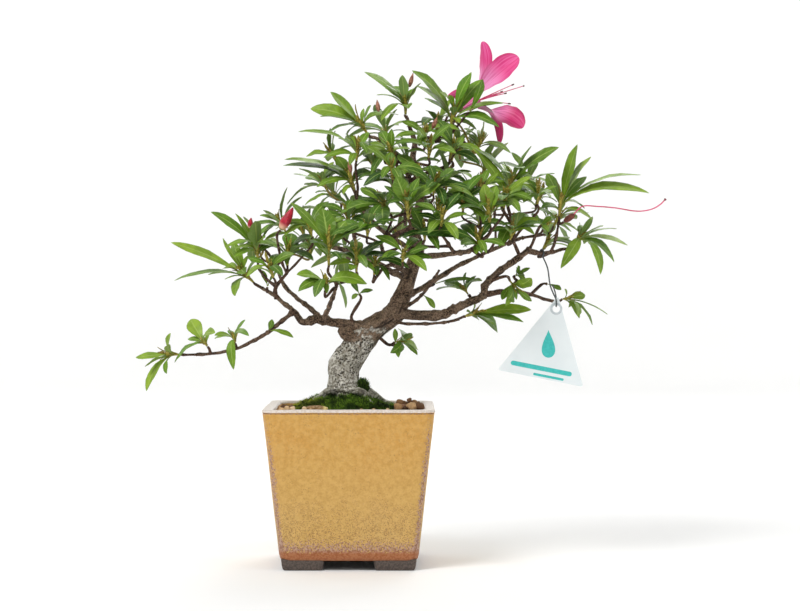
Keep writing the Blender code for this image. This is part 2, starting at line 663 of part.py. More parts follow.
def moss():
    """The cushion of moss round the trunk's foot, with tufts in relief."""
    sectors, rings = 22, 4
    verts, faces = [], []
    widest = max(place[3] for place in TRUNK)
    for level in (0, 1):
        for ring in range(rings + 1):
            for k in range(sectors):
                turn = math.tau * k / sectors
                inner = widest * trunk_lobes(turn, 0.2) + 0.9
                outer = MOSS_RADIUS * (1 + 0.09 * math.cos(2 * turn) + 0.06 * math.cos(5 * turn + 1.0))
                reach = inner + (outer - inner) * ring / rings
                x, y = TRUNK_X + reach * math.cos(turn), reach * math.sin(turn)
                height = mound(x, y) + 0.6
                if level:
                    edge = 1.0 - (ring / rings) ** 3
                    tuft = noise.noise(Vector((x * 0.22, y * 0.22, 2.0)))
                    height += 0.9 + (MOSS_THICK - 0.9) * edge + 1.5 * edge * tuft
                verts.append((x, y, height))
    half = sectors * (rings + 1)
    for k in range(sectors):
        after = (k + 1) % sectors
        for ring in range(rings):
            near, far = ring * sectors, (ring + 1) * sectors
            faces.append((near + after, near + k, far + k))
            faces.append((near + after, far + k, far + after))
            faces.append((half + near + k, half + near + after, half + far + k))
            faces.append((half + near + after, half + far + after, half + far + k))
        last = rings * sectors
        faces.append((k, after, half + after, half + k))
        faces.append((last + after, last + k, half + last + k, half + last + after))
    cushion = add_object("moss", verts, faces)
    paint(cushion, "moss_green", (0.07, 0.16, 0.02), 0.95)
    return cushion


def stone(name, centre, size, turn, seed, colour):
    """One loose stone on the soil: a coarse ball pressed to size, with knocked faces."""
    draw = random.Random(seed)
    work = bmesh.new()
    bmesh.ops.create_icosphere(work, subdivisions=1, radius=0.5)
    for vert in work.verts:
        vert.co *= 1.0 + draw.uniform(-0.14, 0.1)
        x, y = vert.co.x * size[0], vert.co.y * size[1]
        vert.co = Vector((x * math.cos(turn) - y * math.sin(turn), x * math.sin(turn) + y * math.cos(turn),
                          max(vert.co.z, -0.36) * size[2])) * MM
    mesh = bpy.data.meshes.new(name)
    work.to_mesh(mesh)
    work.free()
    obj = bpy.data.objects.new(name, mesh)
    collection(PARTS).objects.link(obj)
    lowest = 0.36 * size[2]
    reach = max(size[0], size[1]) / 2
    around = (-0.7 * reach, 0.0, 0.7 * reach)
    seat = max(mound(centre[0] + dx, centre[1] + dy) for dx in around for dy in around)
    obj.data.transform(matrix_at(centre[0], centre[1], seat + lowest + centre[2]))
    paint(obj, name + "_stone", colour, 0.85)
    return obj


def tree_of(verts, faces):
    return BVHTree.FromPolygons([tuple(v) for v in verts], [tuple(f) for f in faces])


def bounds_of(verts):
    spots = np.array([tuple(v) for v in verts])
    return spots.min(axis=0), spots.max(axis=0)


class Placed:
    """Everything that already stands in the tree, so that what is added next can keep clear of it."""

    def __init__(self):
        self.items = []

    def add(self, owner, verts, faces):
        low, high = bounds_of(verts)
        self.items.append((owner, low, high, tree_of(verts, faces)))

    def hits(self, verts, faces, skip=()):
        low, high = bounds_of(verts)
        tree = None
        for owner, other_low, other_high, other in self.items:
            if owner in skip or (low > other_high).any() or (high < other_low).any():
                continue
            tree = tree or tree_of(verts, faces)
            if other.overlap(tree):
                return owner
        return None


def shoot_mesh(foot, way, length, grow=0.0):
    points = [foot + way * (GAP + length * share) for share in (0.0, 0.35, 1.25)]
    radii = [0.9 + grow, 1.5 + grow, 0.2]
    return tube_mesh(points, radii, 5, pointed=True)


def side_stem(name, end, way, grow=0.0):
    """A side shoot's stem, from within its spray's own shoot to its leafy tip."""
    foot, ahead, length, _, _ = SPRAYS[name]
    ahead = Vector(ahead).normalized()
    start = seen(*foot) + ahead * (GAP + length * 0.45)
    span = (end - start).length
    leave = ((end - start).normalized() + ahead * 0.6).normalized()
    points = [bezier(start, start + leave * span * 0.4, end - way * span * 0.3, end, i / 3) for i in range(4)]
    points.append(end + way * SIDE_TIP * 1.3)
    radii = [0.6 + grow, 0.7 + grow, 0.85 + grow, 1.15 + grow, 0.2]
    return tube_mesh(points, radii, 4, pointed=True)


def side_shoots(name, placed):
    """Where the spray's side shoots end, each moved a little until its stem is clear of all that stands."""
    draw = random.Random("side " + name)
    ends = []
    for owner, end, way in SIDE_SHOOTS:
        if owner != name:
            continue
        way = Vector(way).normalized()
        for attempt in range(STEM_TRIES):
            sway = Vector((draw.uniform(-1, 1), draw.uniform(-1, 1), draw.uniform(-1, 1)))
            spot = Vector(end) + sway * 0.08 * attempt
            if not placed.hits(*side_stem(name, spot, way, grow=0.4), skip=(name,)):
                placed.add(name, *side_stem(name, spot, way))
                ends.append((spot, way))
                break
        else:
            print("left out a side shoot", name, end)
    return ends


def leaf_mesh(root, way, tip, width, roll, grow=0.0, start=0.0):
    """An arched blade: sections with two edges and a keel below, from the root on, then the tip."""
    reach = tip - root
    length = reach.length
    outward = reach.normalized()
    lift = (way * 0.7 + outward * 0.7).normalized()
    bend = root + lift * length * 0.5
    across = way.cross(outward)
    if across.length < 0.1:
        across = way.orthogonal()
    across.normalize()
    corners = 4 if grow else 3
    verts, faces = [], []
    for station, spread in zip(LEAF_STATIONS, LEAF_SPREAD):
        t = start + (1.0 - start) * station
        here = root * (1 - t) ** 2 + bend * (2 * t * (1 - t)) + tip * t * t
        tangent = ((bend - root) * (1 - t) + (tip - bend) * t).normalized()
        normal = tangent.cross(across).normalized()
        side = across * math.cos(roll) + normal * math.sin(roll)
        top = normal * math.cos(roll) - across * math.sin(roll)
        half = max(width * spread / 2, 0.45) + grow
        keel = RIB * (1.1 - 0.4 * t) / 2 + grow
        lifted = top * (FOLD * half)
        verts += [here - side * half + lifted, here + side * half + lifted, here - top * keel]
        if grow:
            verts.append(here + lifted + top * grow)
            verts[-4:] = [verts[-4], verts[-1], verts[-3], verts[-2]]
    verts.append(tip + outward * grow)
    count = len(LEAF_STATIONS)
    for i in range(count - 1):
        a, b = corners * i, corners * (i + 1)
        for k in range(corners):
            after = (k + 1) % corners
            faces += [(a + k, a + after, b + after), (a + k, b + after, b + k)]
    last, end = corners * (count - 1), corners * count
    faces += [(last + k, last + (k + 1) % corners, end) for k in range(corners)]
    faces.append(tuple(reversed(range(corners))))
    return verts, faces


def rule_leaf(draw, foot, way, length, turn, scale):
    """Root and tip of a leaf drawn by rule, on the golden angle round the shoot."""
    side = way.orthogonal().normalized()
    around = side * math.cos(turn) + way.cross(side) * math.sin(turn)
    lean = math.radians(draw.uniform(48, 88))
    reach = scale * draw.uniform(0.8, 1.15)
    root = foot + way * (length * draw.uniform(0.25, 0.8)) + around * 0.5
    tip = root + (way * math.cos(lean) + around * math.sin(lean)) * reach - Vector((0, 0, draw.uniform(0, 5)))
    return root, tip


def tip_leaf(draw, foot, way, length, tip, attempt):
    """Root, tip and width of a leaf whose tip is known as seen from the front, and whose depth is drawn."""
    flat = math.hypot(tip[0] - foot.x, tip[1] - foot.z)
    deep = math.sqrt(max(draw.uniform(22, 32) ** 2 - flat**2, 36.0)) * draw.uniform(0.3, 1.0)
    deep *= draw.choice((-1.0, -1.0, 1.0)) if attempt < 30 else draw.uniform(-1.2, 1.2)
    end = seen(tip[0], foot.y + deep, tip[1])
    apart = end - foot
    apart = (apart - apart.dot(way) * way).normalized()
    root = foot + way * (length * draw.uniform(0.2, 0.75)) + apart * 0.5
    return root, end, tip[2] if len(tip) > 2 else (end - root).length * LEAF_WIDTH


def draw_leaves(name, seed, wanted, own, placed):
    """The wanted leaves of a spray, each drawn again until it is clear of all that stands."""
    draw = random.Random(seed)
    made = []
    for foot, way, length, tip, k in wanted:
        for attempt in range(LEAF_TRIES):
            widen = 1.0 - NARROWING * attempt
            if tip is None:
                turn = GOLDEN_ANGLE * (k + 1) + draw.uniform(-0.5, 0.5) + 0.35 * attempt
                root, end = rule_leaf(draw, foot, way, length, turn, RULE_REACH * widen)
                width = (end - root).length * LEAF_WIDTH
            else:
                root, end, width = tip_leaf(draw, foot, way, length, tip, attempt)
            roll = draw.uniform(-0.5, 0.5)
            fat = leaf_mesh(root, way, end, width * widen, roll, grow=0.35)
            outer = leaf_mesh(root, way, end, width * widen, roll, grow=0.1, start=0.14)
            if end.y < CROWN_FRONT or placed.hits(*fat, skip=(name,)) or own.hits(*outer):
                continue
            verts, faces = leaf_mesh(root, way, end, width * widen, roll)
            own.add(name, *leaf_mesh(root, way, end, width * widen, roll, start=0.12))
            placed.add(name, verts, faces)
            made.append((verts, faces))
            break
        else:
            print("left out", name, tip, k)
    return made


def all_leaves(sides, placed):
    """The leaves of every spray, then those of their side shoots."""
    leaves, owns = {}, {}
    for name, (foot, way, length, tips, more) in SPRAYS.items():
        foot, way = seen(*foot), Vector(way).normalized()
        owns[name] = Placed()
        for end, ahead in sides[name]:
            owns[name].add(name, *side_stem(name, end, ahead))
        wanted = [(foot, way, length, tip, None) for tip in tips]
        wanted += [(foot, way, length, None, k) for k in range(more)]
        leaves[name] = draw_leaves(name, name, wanted, owns[name], placed)
    for name in SPRAYS:
        wanted = [(end, ahead, SIDE_TIP, None, k) for end, ahead in sides[name] for k in range(SIDE_LEAVES)]
        leaves[name] += draw_leaves(name, "side leaves " + name, wanted, owns[name], placed)
    return leaves


def spray(name, sides, made):
    foot, way, length, _, _ = SPRAYS[name]
    shoot = add_object("leaves_" + name, *shoot_mesh(seen(*foot), Vector(way).normalized(), length))
    grown = [side_stem(name, end, ahead) for end, ahead in sides] + made
    union_all(shoot, [add_object("blade", verts, faces, "cutters") for verts, faces in grown])
    weld(shoot)
    paint(shoot, "leaf_green", (0.11, 0.25, 0.03), 0.45)
    return shoot


class Skeleton:
    """The wood's centre lines, with the way back to the trunk's foot along them."""

    def __init__(self):
        self.spots = []

    def add(self, points, radii, start):
        run = start
        for i, point in enumerate(points):
            if i:
                run += (point - points[i - 1]).length
            ahead = points[min(i + 1, len(points) - 1)] - points[max(i - 1, 0)]
            self.spots.append((point, radii[i], run, ahead))

    def nearest(self, place, thin):
        # The shortest way, counting in part the way back along the wood; a twig seldom hangs down
        def cost(spot):
            back = spot[0] - place
            return back.length + BACK_SHARE * spot[2] + DROP_COST * max(0.0, back.normalized().z)

        return min((spot for spot in self.spots if spot[1] >= thin), key=cost)


def branch_routes():
    routes = []
    for name, (thick, thin, knots) in BRANCHES.items():
        points = curve_points([seen(*knot) for knot in knots], max(5, len(knots)))
        last = len(points) - 1
        radii = [thick + (thin - thick) * (i / last) ** 0.8 for i in range(last + 1)]
        routes.append((name, points, radii, 5))
    return routes


def twig_route(skeleton, foot, way, draw):
    """A twig from the nearest fit place on the wood to the spray's foot, where it points the spray's way."""
    start, radius, run, ahead = skeleton.nearest(foot, 0.85)
    span = (foot - start).length
    leave = (ahead.normalized() * 0.5 + (foot - start).normalized()).normalized()
    sway = Vector((draw.uniform(-1, 1), draw.uniform(-1, 1), draw.uniform(-1, 1))) * span * 0.12
    steps = 3 if span < 20 else 4 if span < 40 else 5
    points = [
        bezier(start, start + leave * span * 0.35 + sway, foot - way * span * 0.3 + sway, foot, i / (steps - 1))
        for i in range(steps)
    ]
    points[-2] = foot - way * min(span * 0.3, 5.0)
    thick = min(radius * 0.85, 0.95 + span * 0.012)
    radii = [thick + (0.8 - thick) * i / (steps - 1) for i in range(steps)]
    return points, radii, run


def small_feet():
    """What else a twig must reach: the flower's stalk, the old calyx and the buds."""
    feet = []
    for near, far in ((FLOWER_FOOT, FLOWER_THROAT), OLD_CALYX):
        feet.append((Vector(near), (Vector(far) - Vector(near)).normalized()))
    for near, far, _ in BUDS.values():
        feet.append((Vector(near), (Vector(far) - Vector(near)).normalized()))
    return feet


def limbs(placed):
    """The branches' meshes, with the centre lines of trunk and branches."""
    placed.add("wood", *trunk_mesh())
    skeleton = Skeleton()
    trunk_points = curve_points([Vector(place[:3]) for place in TRUNK if place[2] > 140], 40)
    skeleton.add(trunk_points, [max(1.0, 8.0 - 0.17 * i) for i in range(40)], 0.0)
    pieces = []
    for name, points, radii, sides in branch_routes():
        start = min(skeleton.spots, key=lambda spot: (spot[0] - points[0]).length)[2]
        dense = curve_points(points, 4 * len(points))
        thin = [radii[0] + (radii[-1] - radii[0]) * i / (len(dense) - 1) for i in range(len(dense))]
        skeleton.add(dense[3:], thin[3:], start)
        pieces.append(tube_mesh(points, radii, sides))
        placed.add("wood", *pieces[-1])
    return skeleton, pieces


def wood(skeleton, pieces, placed):
    """Trunk, branches and twigs, grown as one piece."""
    trunk = add_object("wood", *trunk_mesh())
    feet = [(seen(*foot), Vector(way).normalized()) for foot, way, _, _, _ in SPRAYS.values()] + small_feet()
    feet.sort(key=lambda item: (item[0] - Vector((40, 0, 200))).length)
    for number, (foot, way) in enumerate(feet):
        draw = random.Random(number + 7)
        for _ in range(40):
            points, radii, run = twig_route(skeleton, foot, way, draw)
            fat = tube_mesh(points[1:], [radius + 0.5 for radius in radii[1:]], 4)
            if not placed.hits(*fat, skip=("wood",)):
                break
        else:
            print("twig crosses", number, [round(v) for v in foot])
        skeleton.add(points[1:], radii[1:], run + (points[1] - points[0]).length)
        pieces.append(tube_mesh(points, radii, 4))
        placed.add("wood", *pieces[-1])
    union_all(trunk, [add_object("branch", verts, faces, "cutters") for verts, faces in pieces])
    weld(trunk)
    paint(trunk, "bark", (0.16, 0.12, 0.09), 0.85)
    return trunk


def petal_mesh(root, tip, way, width, turn, grow=0.0):
    """A petal: a cupped blade on five stations and four columns, the same on both faces."""
    length = (tip - root).length
    bend = root + way * length * 0.55
    outward = (tip - root).normalized()
    across = way.cross(outward).normalized()
    stations = (0.0, 0.28, 0.58, 0.85, 1.0)
    spreads = (0.34, 0.62, 1.0, 0.85, 0.14)
    verts, faces = [], []
    for level in (1, -1):
        for t, spread in zip(stations, spreads):
            here = root * (1 - t) ** 2 + bend * (2 * t * (1 - t)) + tip * t * t
            tangent = ((bend - root) * (1 - t) + (tip - bend) * t).normalized()
            normal = tangent.cross(across).normalized()
            side = across * math.cos(turn * t) + normal * math.sin(turn * t)
            top = normal * math.cos(turn * t) - across * math.sin(turn * t)
            for column in range(4):
                place = column * 2 / 3 - 1
                cup = 0.22 * width * spread * place * place
                verts.append(here + side * (place * width * spread / 2) + top * (cup + level * (0.4 + grow)))
    rows, columns = len(stations), 4
    half = rows * columns
    for i in range(rows - 1):
        for k in range(columns - 1):
            a, b = i * columns + k, (i + 1) * columns + k
            faces += [(a, a + 1, b + 1), (a, b + 1, b)]
            faces += [(half + a, half + b + 1, half + a + 1), (half + a, half + b, half + b + 1)]
    rim = ([k for k in range(columns - 1)] + [i * columns + columns - 1 for i in range(rows - 1)]
           + [(rows - 1) * columns + columns - 1 - k for k in range(columns - 1)]
           + [(rows - 1 - i) * columns for i in range(rows - 1)])
    for here, after in zip(rim, rim[1:] + rim[:1]):
        faces.append((here, after, half + after, half + here))
    return verts, faces


def corolla(placed):
    """The open flower's tube and five petals, one piece."""
    foot, throat = Vector(FLOWER_FOOT), Vector(FLOWER_THROAT)
    way = (throat - foot).normalized()
    start = foot + way * 4.0
    points = [
        start, start + way * 3, start + way * 8, throat, throat + way * 1.0, start + way * 8, start + way * 2.4
    ]
    radii = [1.6, 2.6, 4.0, 5.6, 4.6, 2.9, 1.2]
    sides = 10
    side = way.orthogonal().normalized()
    up = way.cross(side)
    verts, faces = [], []
    for point, radius in zip(points, radii):
        verts += [point + (side * math.cos(math.tau * k / sides) + up * math.sin(math.tau * k / sides)) * radius
                  for k in range(sides)]
    for i in range(len(points) - 1):
        for k in range(sides):
            after = (k + 1) % sides
            faces.append((i * sides + k, i * sides + after, (i + 1) * sides + after, (i + 1) * sides + k))
    faces.append(tuple(reversed(range(sides))))
    faces.append(tuple(range((len(points) - 1) * sides, len(points) * sides)))
    placed.add("corolla", verts, faces)
    flower = add_object("corolla", verts, faces)
    blades = []
    for tip, width, turn in PETALS:
        tip = Vector(tip)
        outward = tip - throat
        outward = (outward - outward.dot(way) * way).normalized()
        root = throat - way * 2.0 + outward * 4.3
        blade = petal_mesh(root, tip, (way + outward * 0.45).normalized(), width, turn)
        ahead = (way + outward * 0.45).normalized()
        placed.add("corolla", *petal_mesh(root, tip, ahead, width, turn, grow=0.5))
        blades.append(add_object("petal", *blade, "cutters"))
    union_all(flower, blades)
    weld(flower)
    paint(flower, "petal_pink", (0.75, 0.06, 0.25), 0.5)
    return flower


def stamens(placed):
    """The thin filaments with their anthers, and the style, from one small seat in the tube."""
    foot, throat = Vector(FLOWER_FOOT), Vector(FLOWER_THROAT)
    way = (throat - foot).normalized()
    seat = foot + way * 6.9
    verts, faces = tube_mesh([seat, seat + way * 1.6], [0.9, 0.9], 6)
    bunch = add_object("stamens", verts, faces)
    pieces = []
    for tip in STAMENS:
        tip = Vector(tip)
        low = seat + way * 7 + (tip - throat) * 0.06
        points = curve_points([seat + way * 0.8, low, throat + (tip - throat) * 0.5, tip], 6)
        radii = [0.4, 0.4, 0.4, 0.4, 0.7, 0.7]
        pieces.append(tube_mesh(points, radii, 4))
        placed.add("stamens", *tube_mesh(points, [radius + 0.4 for radius in radii], 4))
    union_all(bunch, [add_object("filament", verts, faces, "cutters") for verts, faces in pieces])
    weld(bunch)
    paint(bunch, "filament_pink", (0.7, 0.08, 0.2), 0.5)
    return bunch


def stalk(placed):
    """The flower's stalk and calyx, from its twig's end to the tube's foot."""
    foot, throat = Vector(FLOWER_FOOT), Vector(FLOWER_THROAT)
    way = (throat - foot).normalized()
    points = [foot + way * GAP, foot + way * 1.8, foot + way * 2.6, foot + way * (4.0 - GAP)]
    verts, faces = tube_mesh(points, [0.8, 0.9, 2.0, 1.9], 6)
    placed.add("flower_stalk", verts, faces)
    obj = add_object("flower_stalk", verts, faces)
    paint(obj, "calyx_green", (0.2, 0.26, 0.05), 0.6)
    return obj


def old_style(placed):
    """The dry calyx of a dropped flower and the long style that stays in it."""
    near, far = Vector(OLD_CALYX[0]), Vector(OLD_CALYX[1])
    way = (far - near).normalized()
    points = [near + way * GAP, near + way * 2.5, near + way * 6.0, far]
    calyx_mesh = tube_mesh(points, [0.8, 1.7, 1.9, 1.2], 7)
    placed.add("old_calyx", *calyx_mesh)
    calyx = add_object("old_calyx", *calyx_mesh)
    paint(calyx, "dry_calyx", (0.2, 0.05, 0.03), 0.7)
    knots = [far + way * GAP] + [Vector(knot) for knot in STYLE[1:]]
    route = curve_points(knots, 16)
    thin = [0.5] * 14 + [0.85, 0.75]
    style_mesh = tube_mesh(route, thin, 5)
    placed.add("old_style", *tube_mesh(route, [radius + 0.3 for radius in thin], 5))
    style = add_object("old_style", *style_mesh)
    paint(style, "style_pink", (0.65, 0.1, 0.2), 0.5)
    return calyx, style


def bud(name, placed):
    """A closed, pointed bud."""
    near, far, widest = BUDS[name]
    near, far = Vector(near), Vector(far)
    way, length = (far - near).normalized(), (far - near).length
    points = [near + way * (GAP + (length - GAP) * share) for share in (0.0, 0.16, 0.4, 0.68, 1.0)]
    verts, faces = tube_mesh(points, [0.8, widest * 0.8, widest, widest * 0.62, 0.1], 8, pointed=True)
    placed.add(name, verts, faces)
    obj = add_object(name, verts, faces)
    paint(obj, "bud_red", (0.45, 0.01, 0.05), 0.45)
    return obj


def tag(placed):
    """The thin plastic tag, a rounded triangle with a hole near its top corner."""
    corners = [Vector((x, 0, z)) for x, z in TAG_CORNERS]
    middle = sum(corners, Vector()) / 3
    outline = []
    for i, corner in enumerate(corners):
        before, after = corners[i - 1], corners[(i + 1) % 3]
        towards = [(side - corner).normalized() for side in (before, after)]
        opening = towards[0].angle(towards[1])
        centre = corner + (towards[0] + towards[1]).normalized() * TAG_ROUND / math.sin(opening / 2)
        first = corner + towards[0] * TAG_ROUND / math.tan(opening / 2) - centre
        last = corner + towards[1] * TAG_ROUND / math.tan(opening / 2) - centre
        for step in range(6):
            outline.append(centre + first.slerp(last, step / 5))
    flat = bpy.data.curves.new("tag_outline", "CURVE")
    flat.dimensions = "2D"
    flat.fill_mode = "BOTH"
    flat.extrude = TAG_THICK * MM / 2
    spline = flat.splines.new("POLY")
    spline.points.add(len(outline) - 1)
    spline.use_cyclic_u = True
    for spot, point in zip(spline.points, outline):
        spot.co = (point.x * MM, point.z * MM, 0, 1)
    guide = bpy.data.objects.new("tag_outline", flat)
    collection("cutters").objects.link(guide)
    graph = bpy.context.evaluated_depsgraph_get()
    mesh = bpy.data.meshes.new_from_object(guide.evaluated_get(graph))
    work = bmesh.new()
    work.from_mesh(mesh)
    bmesh.ops.remove_doubles(work, verts=work.verts, dist=1e-6)
    for vert in work.verts:
        vert.co = Vector((vert.co.x, TAG_Y * MM - vert.co.z, vert.co.y))
    bmesh.ops.recalc_face_normals(work, faces=work.faces)
    work.to_mesh(mesh)
    work.free()
    plate = bpy.data.objects.new("tag", mesh)
    collection(PARTS).objects.link(plate)
    bpy.data.objects.remove(guide, do_unlink=True)
    hole = cylinder("hole", TAG_HOLE_RADIUS, -5, 5, 16)
    for vert in hole.data.vertices:
        vert.co = Vector((vert.co.x + TAG_HOLE[0] * MM, TAG_Y * MM - vert.co.z, vert.co.y + TAG_HOLE[1] * MM))
    boolean(plate, hole, "DIFFERENCE")
    fat = [(v.co / MM) for v in plate.data.vertices]
    faces = [tuple(p.vertices) for p in plate.data.polygons]
    heart = middle + Vector((0, TAG_Y, 0))
    placed.add("tag", [heart + (f - heart) * 1.02 for f in fat], faces)
    paint(plate, "tag_white", (0.9, 0.92, 0.92), 0.3)
    return plate


def tag_wire(placed):
    """The thin wire: a turn round the branch, down to the tag, through its hole and up behind it."""
    ring_at = seen(124, -10, 198.4)
    along = Vector((0.92, 0.39, -0.1)).normalized()
    side = Vector((0, 0, 1))
    side = (side - side.dot(along) * along).normalized()
    up = along.cross(side)
    reach = 1.35 + WIRE_RADIUS + 0.35
    points = []
    for step in range(14):
        turn = math.radians(-150 + 330 * step / 13)
        out = (side * math.cos(turn) + up * math.sin(turn)) * reach
        points.append(ring_at + out + along * (1.6 * step / 13))
    # The tag hangs by the hole's upper edge from a small U in the wire
    turn_radius = TAG_THICK / 2 + WIRE_RADIUS + 0.85
    edge = Vector((TAG_HOLE[0], TAG_Y, TAG_HOLE[1] + TAG_HOLE_RADIUS + 0.9))
    points += curve_points([points[-1], Vector((127.5, -15.5, 188)), Vector((129, -18.2, 177)),
                            edge + Vector((-0.3, -turn_radius, 3.0))], 9)[1:]
    for step in range(9):
        turn = math.pi * step / 8
        points.append(edge + Vector((0, -turn_radius * math.cos(turn), -turn_radius * math.sin(turn))))
    points += [edge + Vector((0.3, turn_radius, 3.0)), edge + Vector((-0.6, 1.6, 7.5))]
    points.append(edge + Vector((-2.2, 0.2, 12)))
    wire = wire_object("tag_wire", points, WIRE_RADIUS)
    placed.add("tag_wire", *tube_mesh(points, [WIRE_RADIUS + 0.35] * len(points), 4))
    paint(wire, "thin_wire", (0.1, 0.11, 0.12), 0.4, 0.8)
    return wire


def build():
    clear_scene()
    axis = bpy.data.objects.new("pot_axis", None)
    collection(PARTS).objects.link(axis)
    axis.location = (POT_X * MM, POT_Y * MM, -GROUND * MM)
    made = [pot(), screen(), screen_clip(), soil(), moss()]
    made += [stone(name, *values) for name, values in STONES.items()]
    placed = Placed()
    for obj in made:
        faces = [tuple(polygon.vertices) for polygon in obj.data.polygons]
        placed.add(obj.name, [vert.co / MM for vert in obj.data.vertices], faces)
    made += [corolla(placed), stamens(placed), stalk(placed), *old_style(placed)]
    made += [bud(name, placed) for name in BUDS]
    made += [tag(placed), tag_wire(placed)]
    for name, (foot, way, length, _, _) in SPRAYS.items():
        shoot = shoot_mesh(seen(*foot), Vector(way).normalized(), length, grow=0.35)
        hit = placed.hits(*shoot)
        if hit:
            print("shoot", name, "meets", hit)
        placed.add(name, *shoot)
    skeleton, pieces = limbs(placed)
    sides = {name: side_shoots(name, placed) for name in SPRAYS}
    made.append(wood(skeleton, pieces, placed))
    leaves = all_leaves(sides, placed)
    made += [spray(name, sides[name], leaves[name]) for name in SPRAYS]
    for obj in made:
        obj.parent = axis


build()
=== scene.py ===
# The finish of a satsuki azalea bonsai: glazed pot, soil and moss, bark, leaves, flower and tag, round its solid model.
# Lists are in millimetres from the pot's own axis, front at -Y, with the ground at -3.4; finished meshes are in metres.
import math
import random

import bmesh
import bpy
import numpy as np
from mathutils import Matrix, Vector
from mathutils.bvhtree import BVHTree


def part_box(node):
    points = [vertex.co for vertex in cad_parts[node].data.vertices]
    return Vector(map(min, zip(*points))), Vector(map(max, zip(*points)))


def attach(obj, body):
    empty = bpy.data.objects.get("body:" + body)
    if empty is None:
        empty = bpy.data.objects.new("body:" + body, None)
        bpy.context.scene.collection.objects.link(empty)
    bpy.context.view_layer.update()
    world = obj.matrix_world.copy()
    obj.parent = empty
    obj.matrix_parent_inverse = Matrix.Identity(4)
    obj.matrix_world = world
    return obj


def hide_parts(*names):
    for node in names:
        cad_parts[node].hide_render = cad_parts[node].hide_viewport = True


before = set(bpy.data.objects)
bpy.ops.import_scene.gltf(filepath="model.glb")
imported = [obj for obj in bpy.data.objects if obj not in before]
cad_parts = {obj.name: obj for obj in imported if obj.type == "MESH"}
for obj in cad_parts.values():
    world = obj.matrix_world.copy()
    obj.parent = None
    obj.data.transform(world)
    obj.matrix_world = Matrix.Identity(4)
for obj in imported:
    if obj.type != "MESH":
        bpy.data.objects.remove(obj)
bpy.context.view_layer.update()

mm = 0.001
potLow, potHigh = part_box("pot")
ground = -3.4
potAxis = np.array([(potLow.x + potHigh.x) / 2, (potLow.y + potHigh.y) / 2, -ground * mm])

# Where the tree is looked at from, and how wide the view is
view = {"x": 32.4, "z": 180.6, "away": 1364.0, "pitch": 0.7, "lens": 94.2}


# A place noted in the picture's plane, moved along the line of sight to the depth y
def seen(x, y, z):
    spread = 1.0 + y / view["away"]
    return np.array([view["x"] + (x - view["x"]) * spread, y, view["z"] + (z - view["z"]) * spread])


def unit(vectors):
    vectors = np.asarray(vectors, float)
    return vectors / np.maximum(np.linalg.norm(vectors, axis=-1, keepdims=True), 1e-9)


# Places on an arch at the shares t of its way: a quadratic Bezier curve
def arch(root, bend, tip, t):
    return root * (1 - t)**2 + bend * 2 * t * (1 - t) + tip * t * t


# The arch's own direction there: its derivative
def archWay(root, bend, tip, t):
    return unit((bend - root) * (1 - t) + (tip - bend) * t)


# A cubic Bezier curve
def cubic(start, first, second, end, t):
    return start * (1 - t)**3 + first * 3 * t * (1 - t)**2 + second * 3 * t * t * (1 - t) + end * t**3


def turns(sides):
    return math.tau * np.arange(sides) / sides


# Circles of radius 1 in the planes of side and up: side times cosine plus up times sine
def circles(side, up, turn):
    return side[..., None, :] * np.cos(turn)[:, None] + up[..., None, :] * np.sin(turn)[:, None]


# Faces of many copies that have this many points each
def copyFaces(faces, count, points):
    return (faces[None] + (np.arange(count) * points)[:, None, None]).reshape(-1, faces.shape[1])


# From 0 to 1 between two edges, with a soft start and end: t squared times (3 - 2t)
def soften(values, low, high):
    part = np.clip((np.asarray(values, float) - low) / (high - low), 0.0, 1.0)
    return part * part * (3.0 - 2.0 * part)


# Smooth noise from -1 to 1: each corner of a cell has a hashed value, and they are blended by softened distance
def latticeNoise(points, size, seed=0):
    spots = np.asarray(points, float) / size
    cell = np.floor(spots).astype(np.int64)
    part = spots - cell
    part = part * part * (3.0 - 2.0 * part)
    total = np.zeros(spots.shape[:-1])
    for corner in range(8):
        step = np.array([corner & 1, corner >> 1 & 1, corner >> 2 & 1])
        share = np.where(step, part, 1.0 - part).prod(axis=-1)
        keys = ((cell + step) * np.array([73856093, 19349663, 83492791])).sum(axis=-1) + seed * 7919
        keys = (keys ^ (keys >> 13)) * 1274126177
        keys = (keys ^ (keys >> 16)) & 65535
        total += share * (keys / 32767.5 - 1.0)
    return total


# Several layers of noise, each half the size and half the strength of the last
def layeredNoise(points, size, layers=3, seed=0):
    return sum(latticeNoise(points, size / 2**k, seed + k) / 2**k for k in range(layers))


# Points on a smooth curve through the knots: a cardinal spline, evenly spread over its spans
def splinePoints(knots, count):
    knots = np.asarray(knots, float)
    spans = len(knots) - 1
    place = np.linspace(0.0, spans, count)
    k = np.minimum(place.astype(int), spans - 1)
    before, here, there, after = (knots[np.clip(k + step, 0, spans)] for step in (-1, 0, 1, 2))
    return cubic(here, here + (there - before) / 6, there - (after - here) / 6, there, (place - k)[:, None])


# Rings of a tube: at each point of the route stands a circle square to the route, of its own radius
def tubeRings(route, radii, sides):
    route, radii = np.asarray(route, float), np.asarray(radii, float)
    ahead = unit(np.gradient(route, axis=0))
    reference = np.eye(3)[np.argmin(np.abs(unit(route[-1] - route[0])))]
    side = unit(reference - ahead * (ahead @ reference)[:, None])
    if radii.ndim == 1:
        radii = radii[:, None]
    return route[:, None] + circles(side, np.cross(ahead, side), turns(sides)) * radii[..., None]


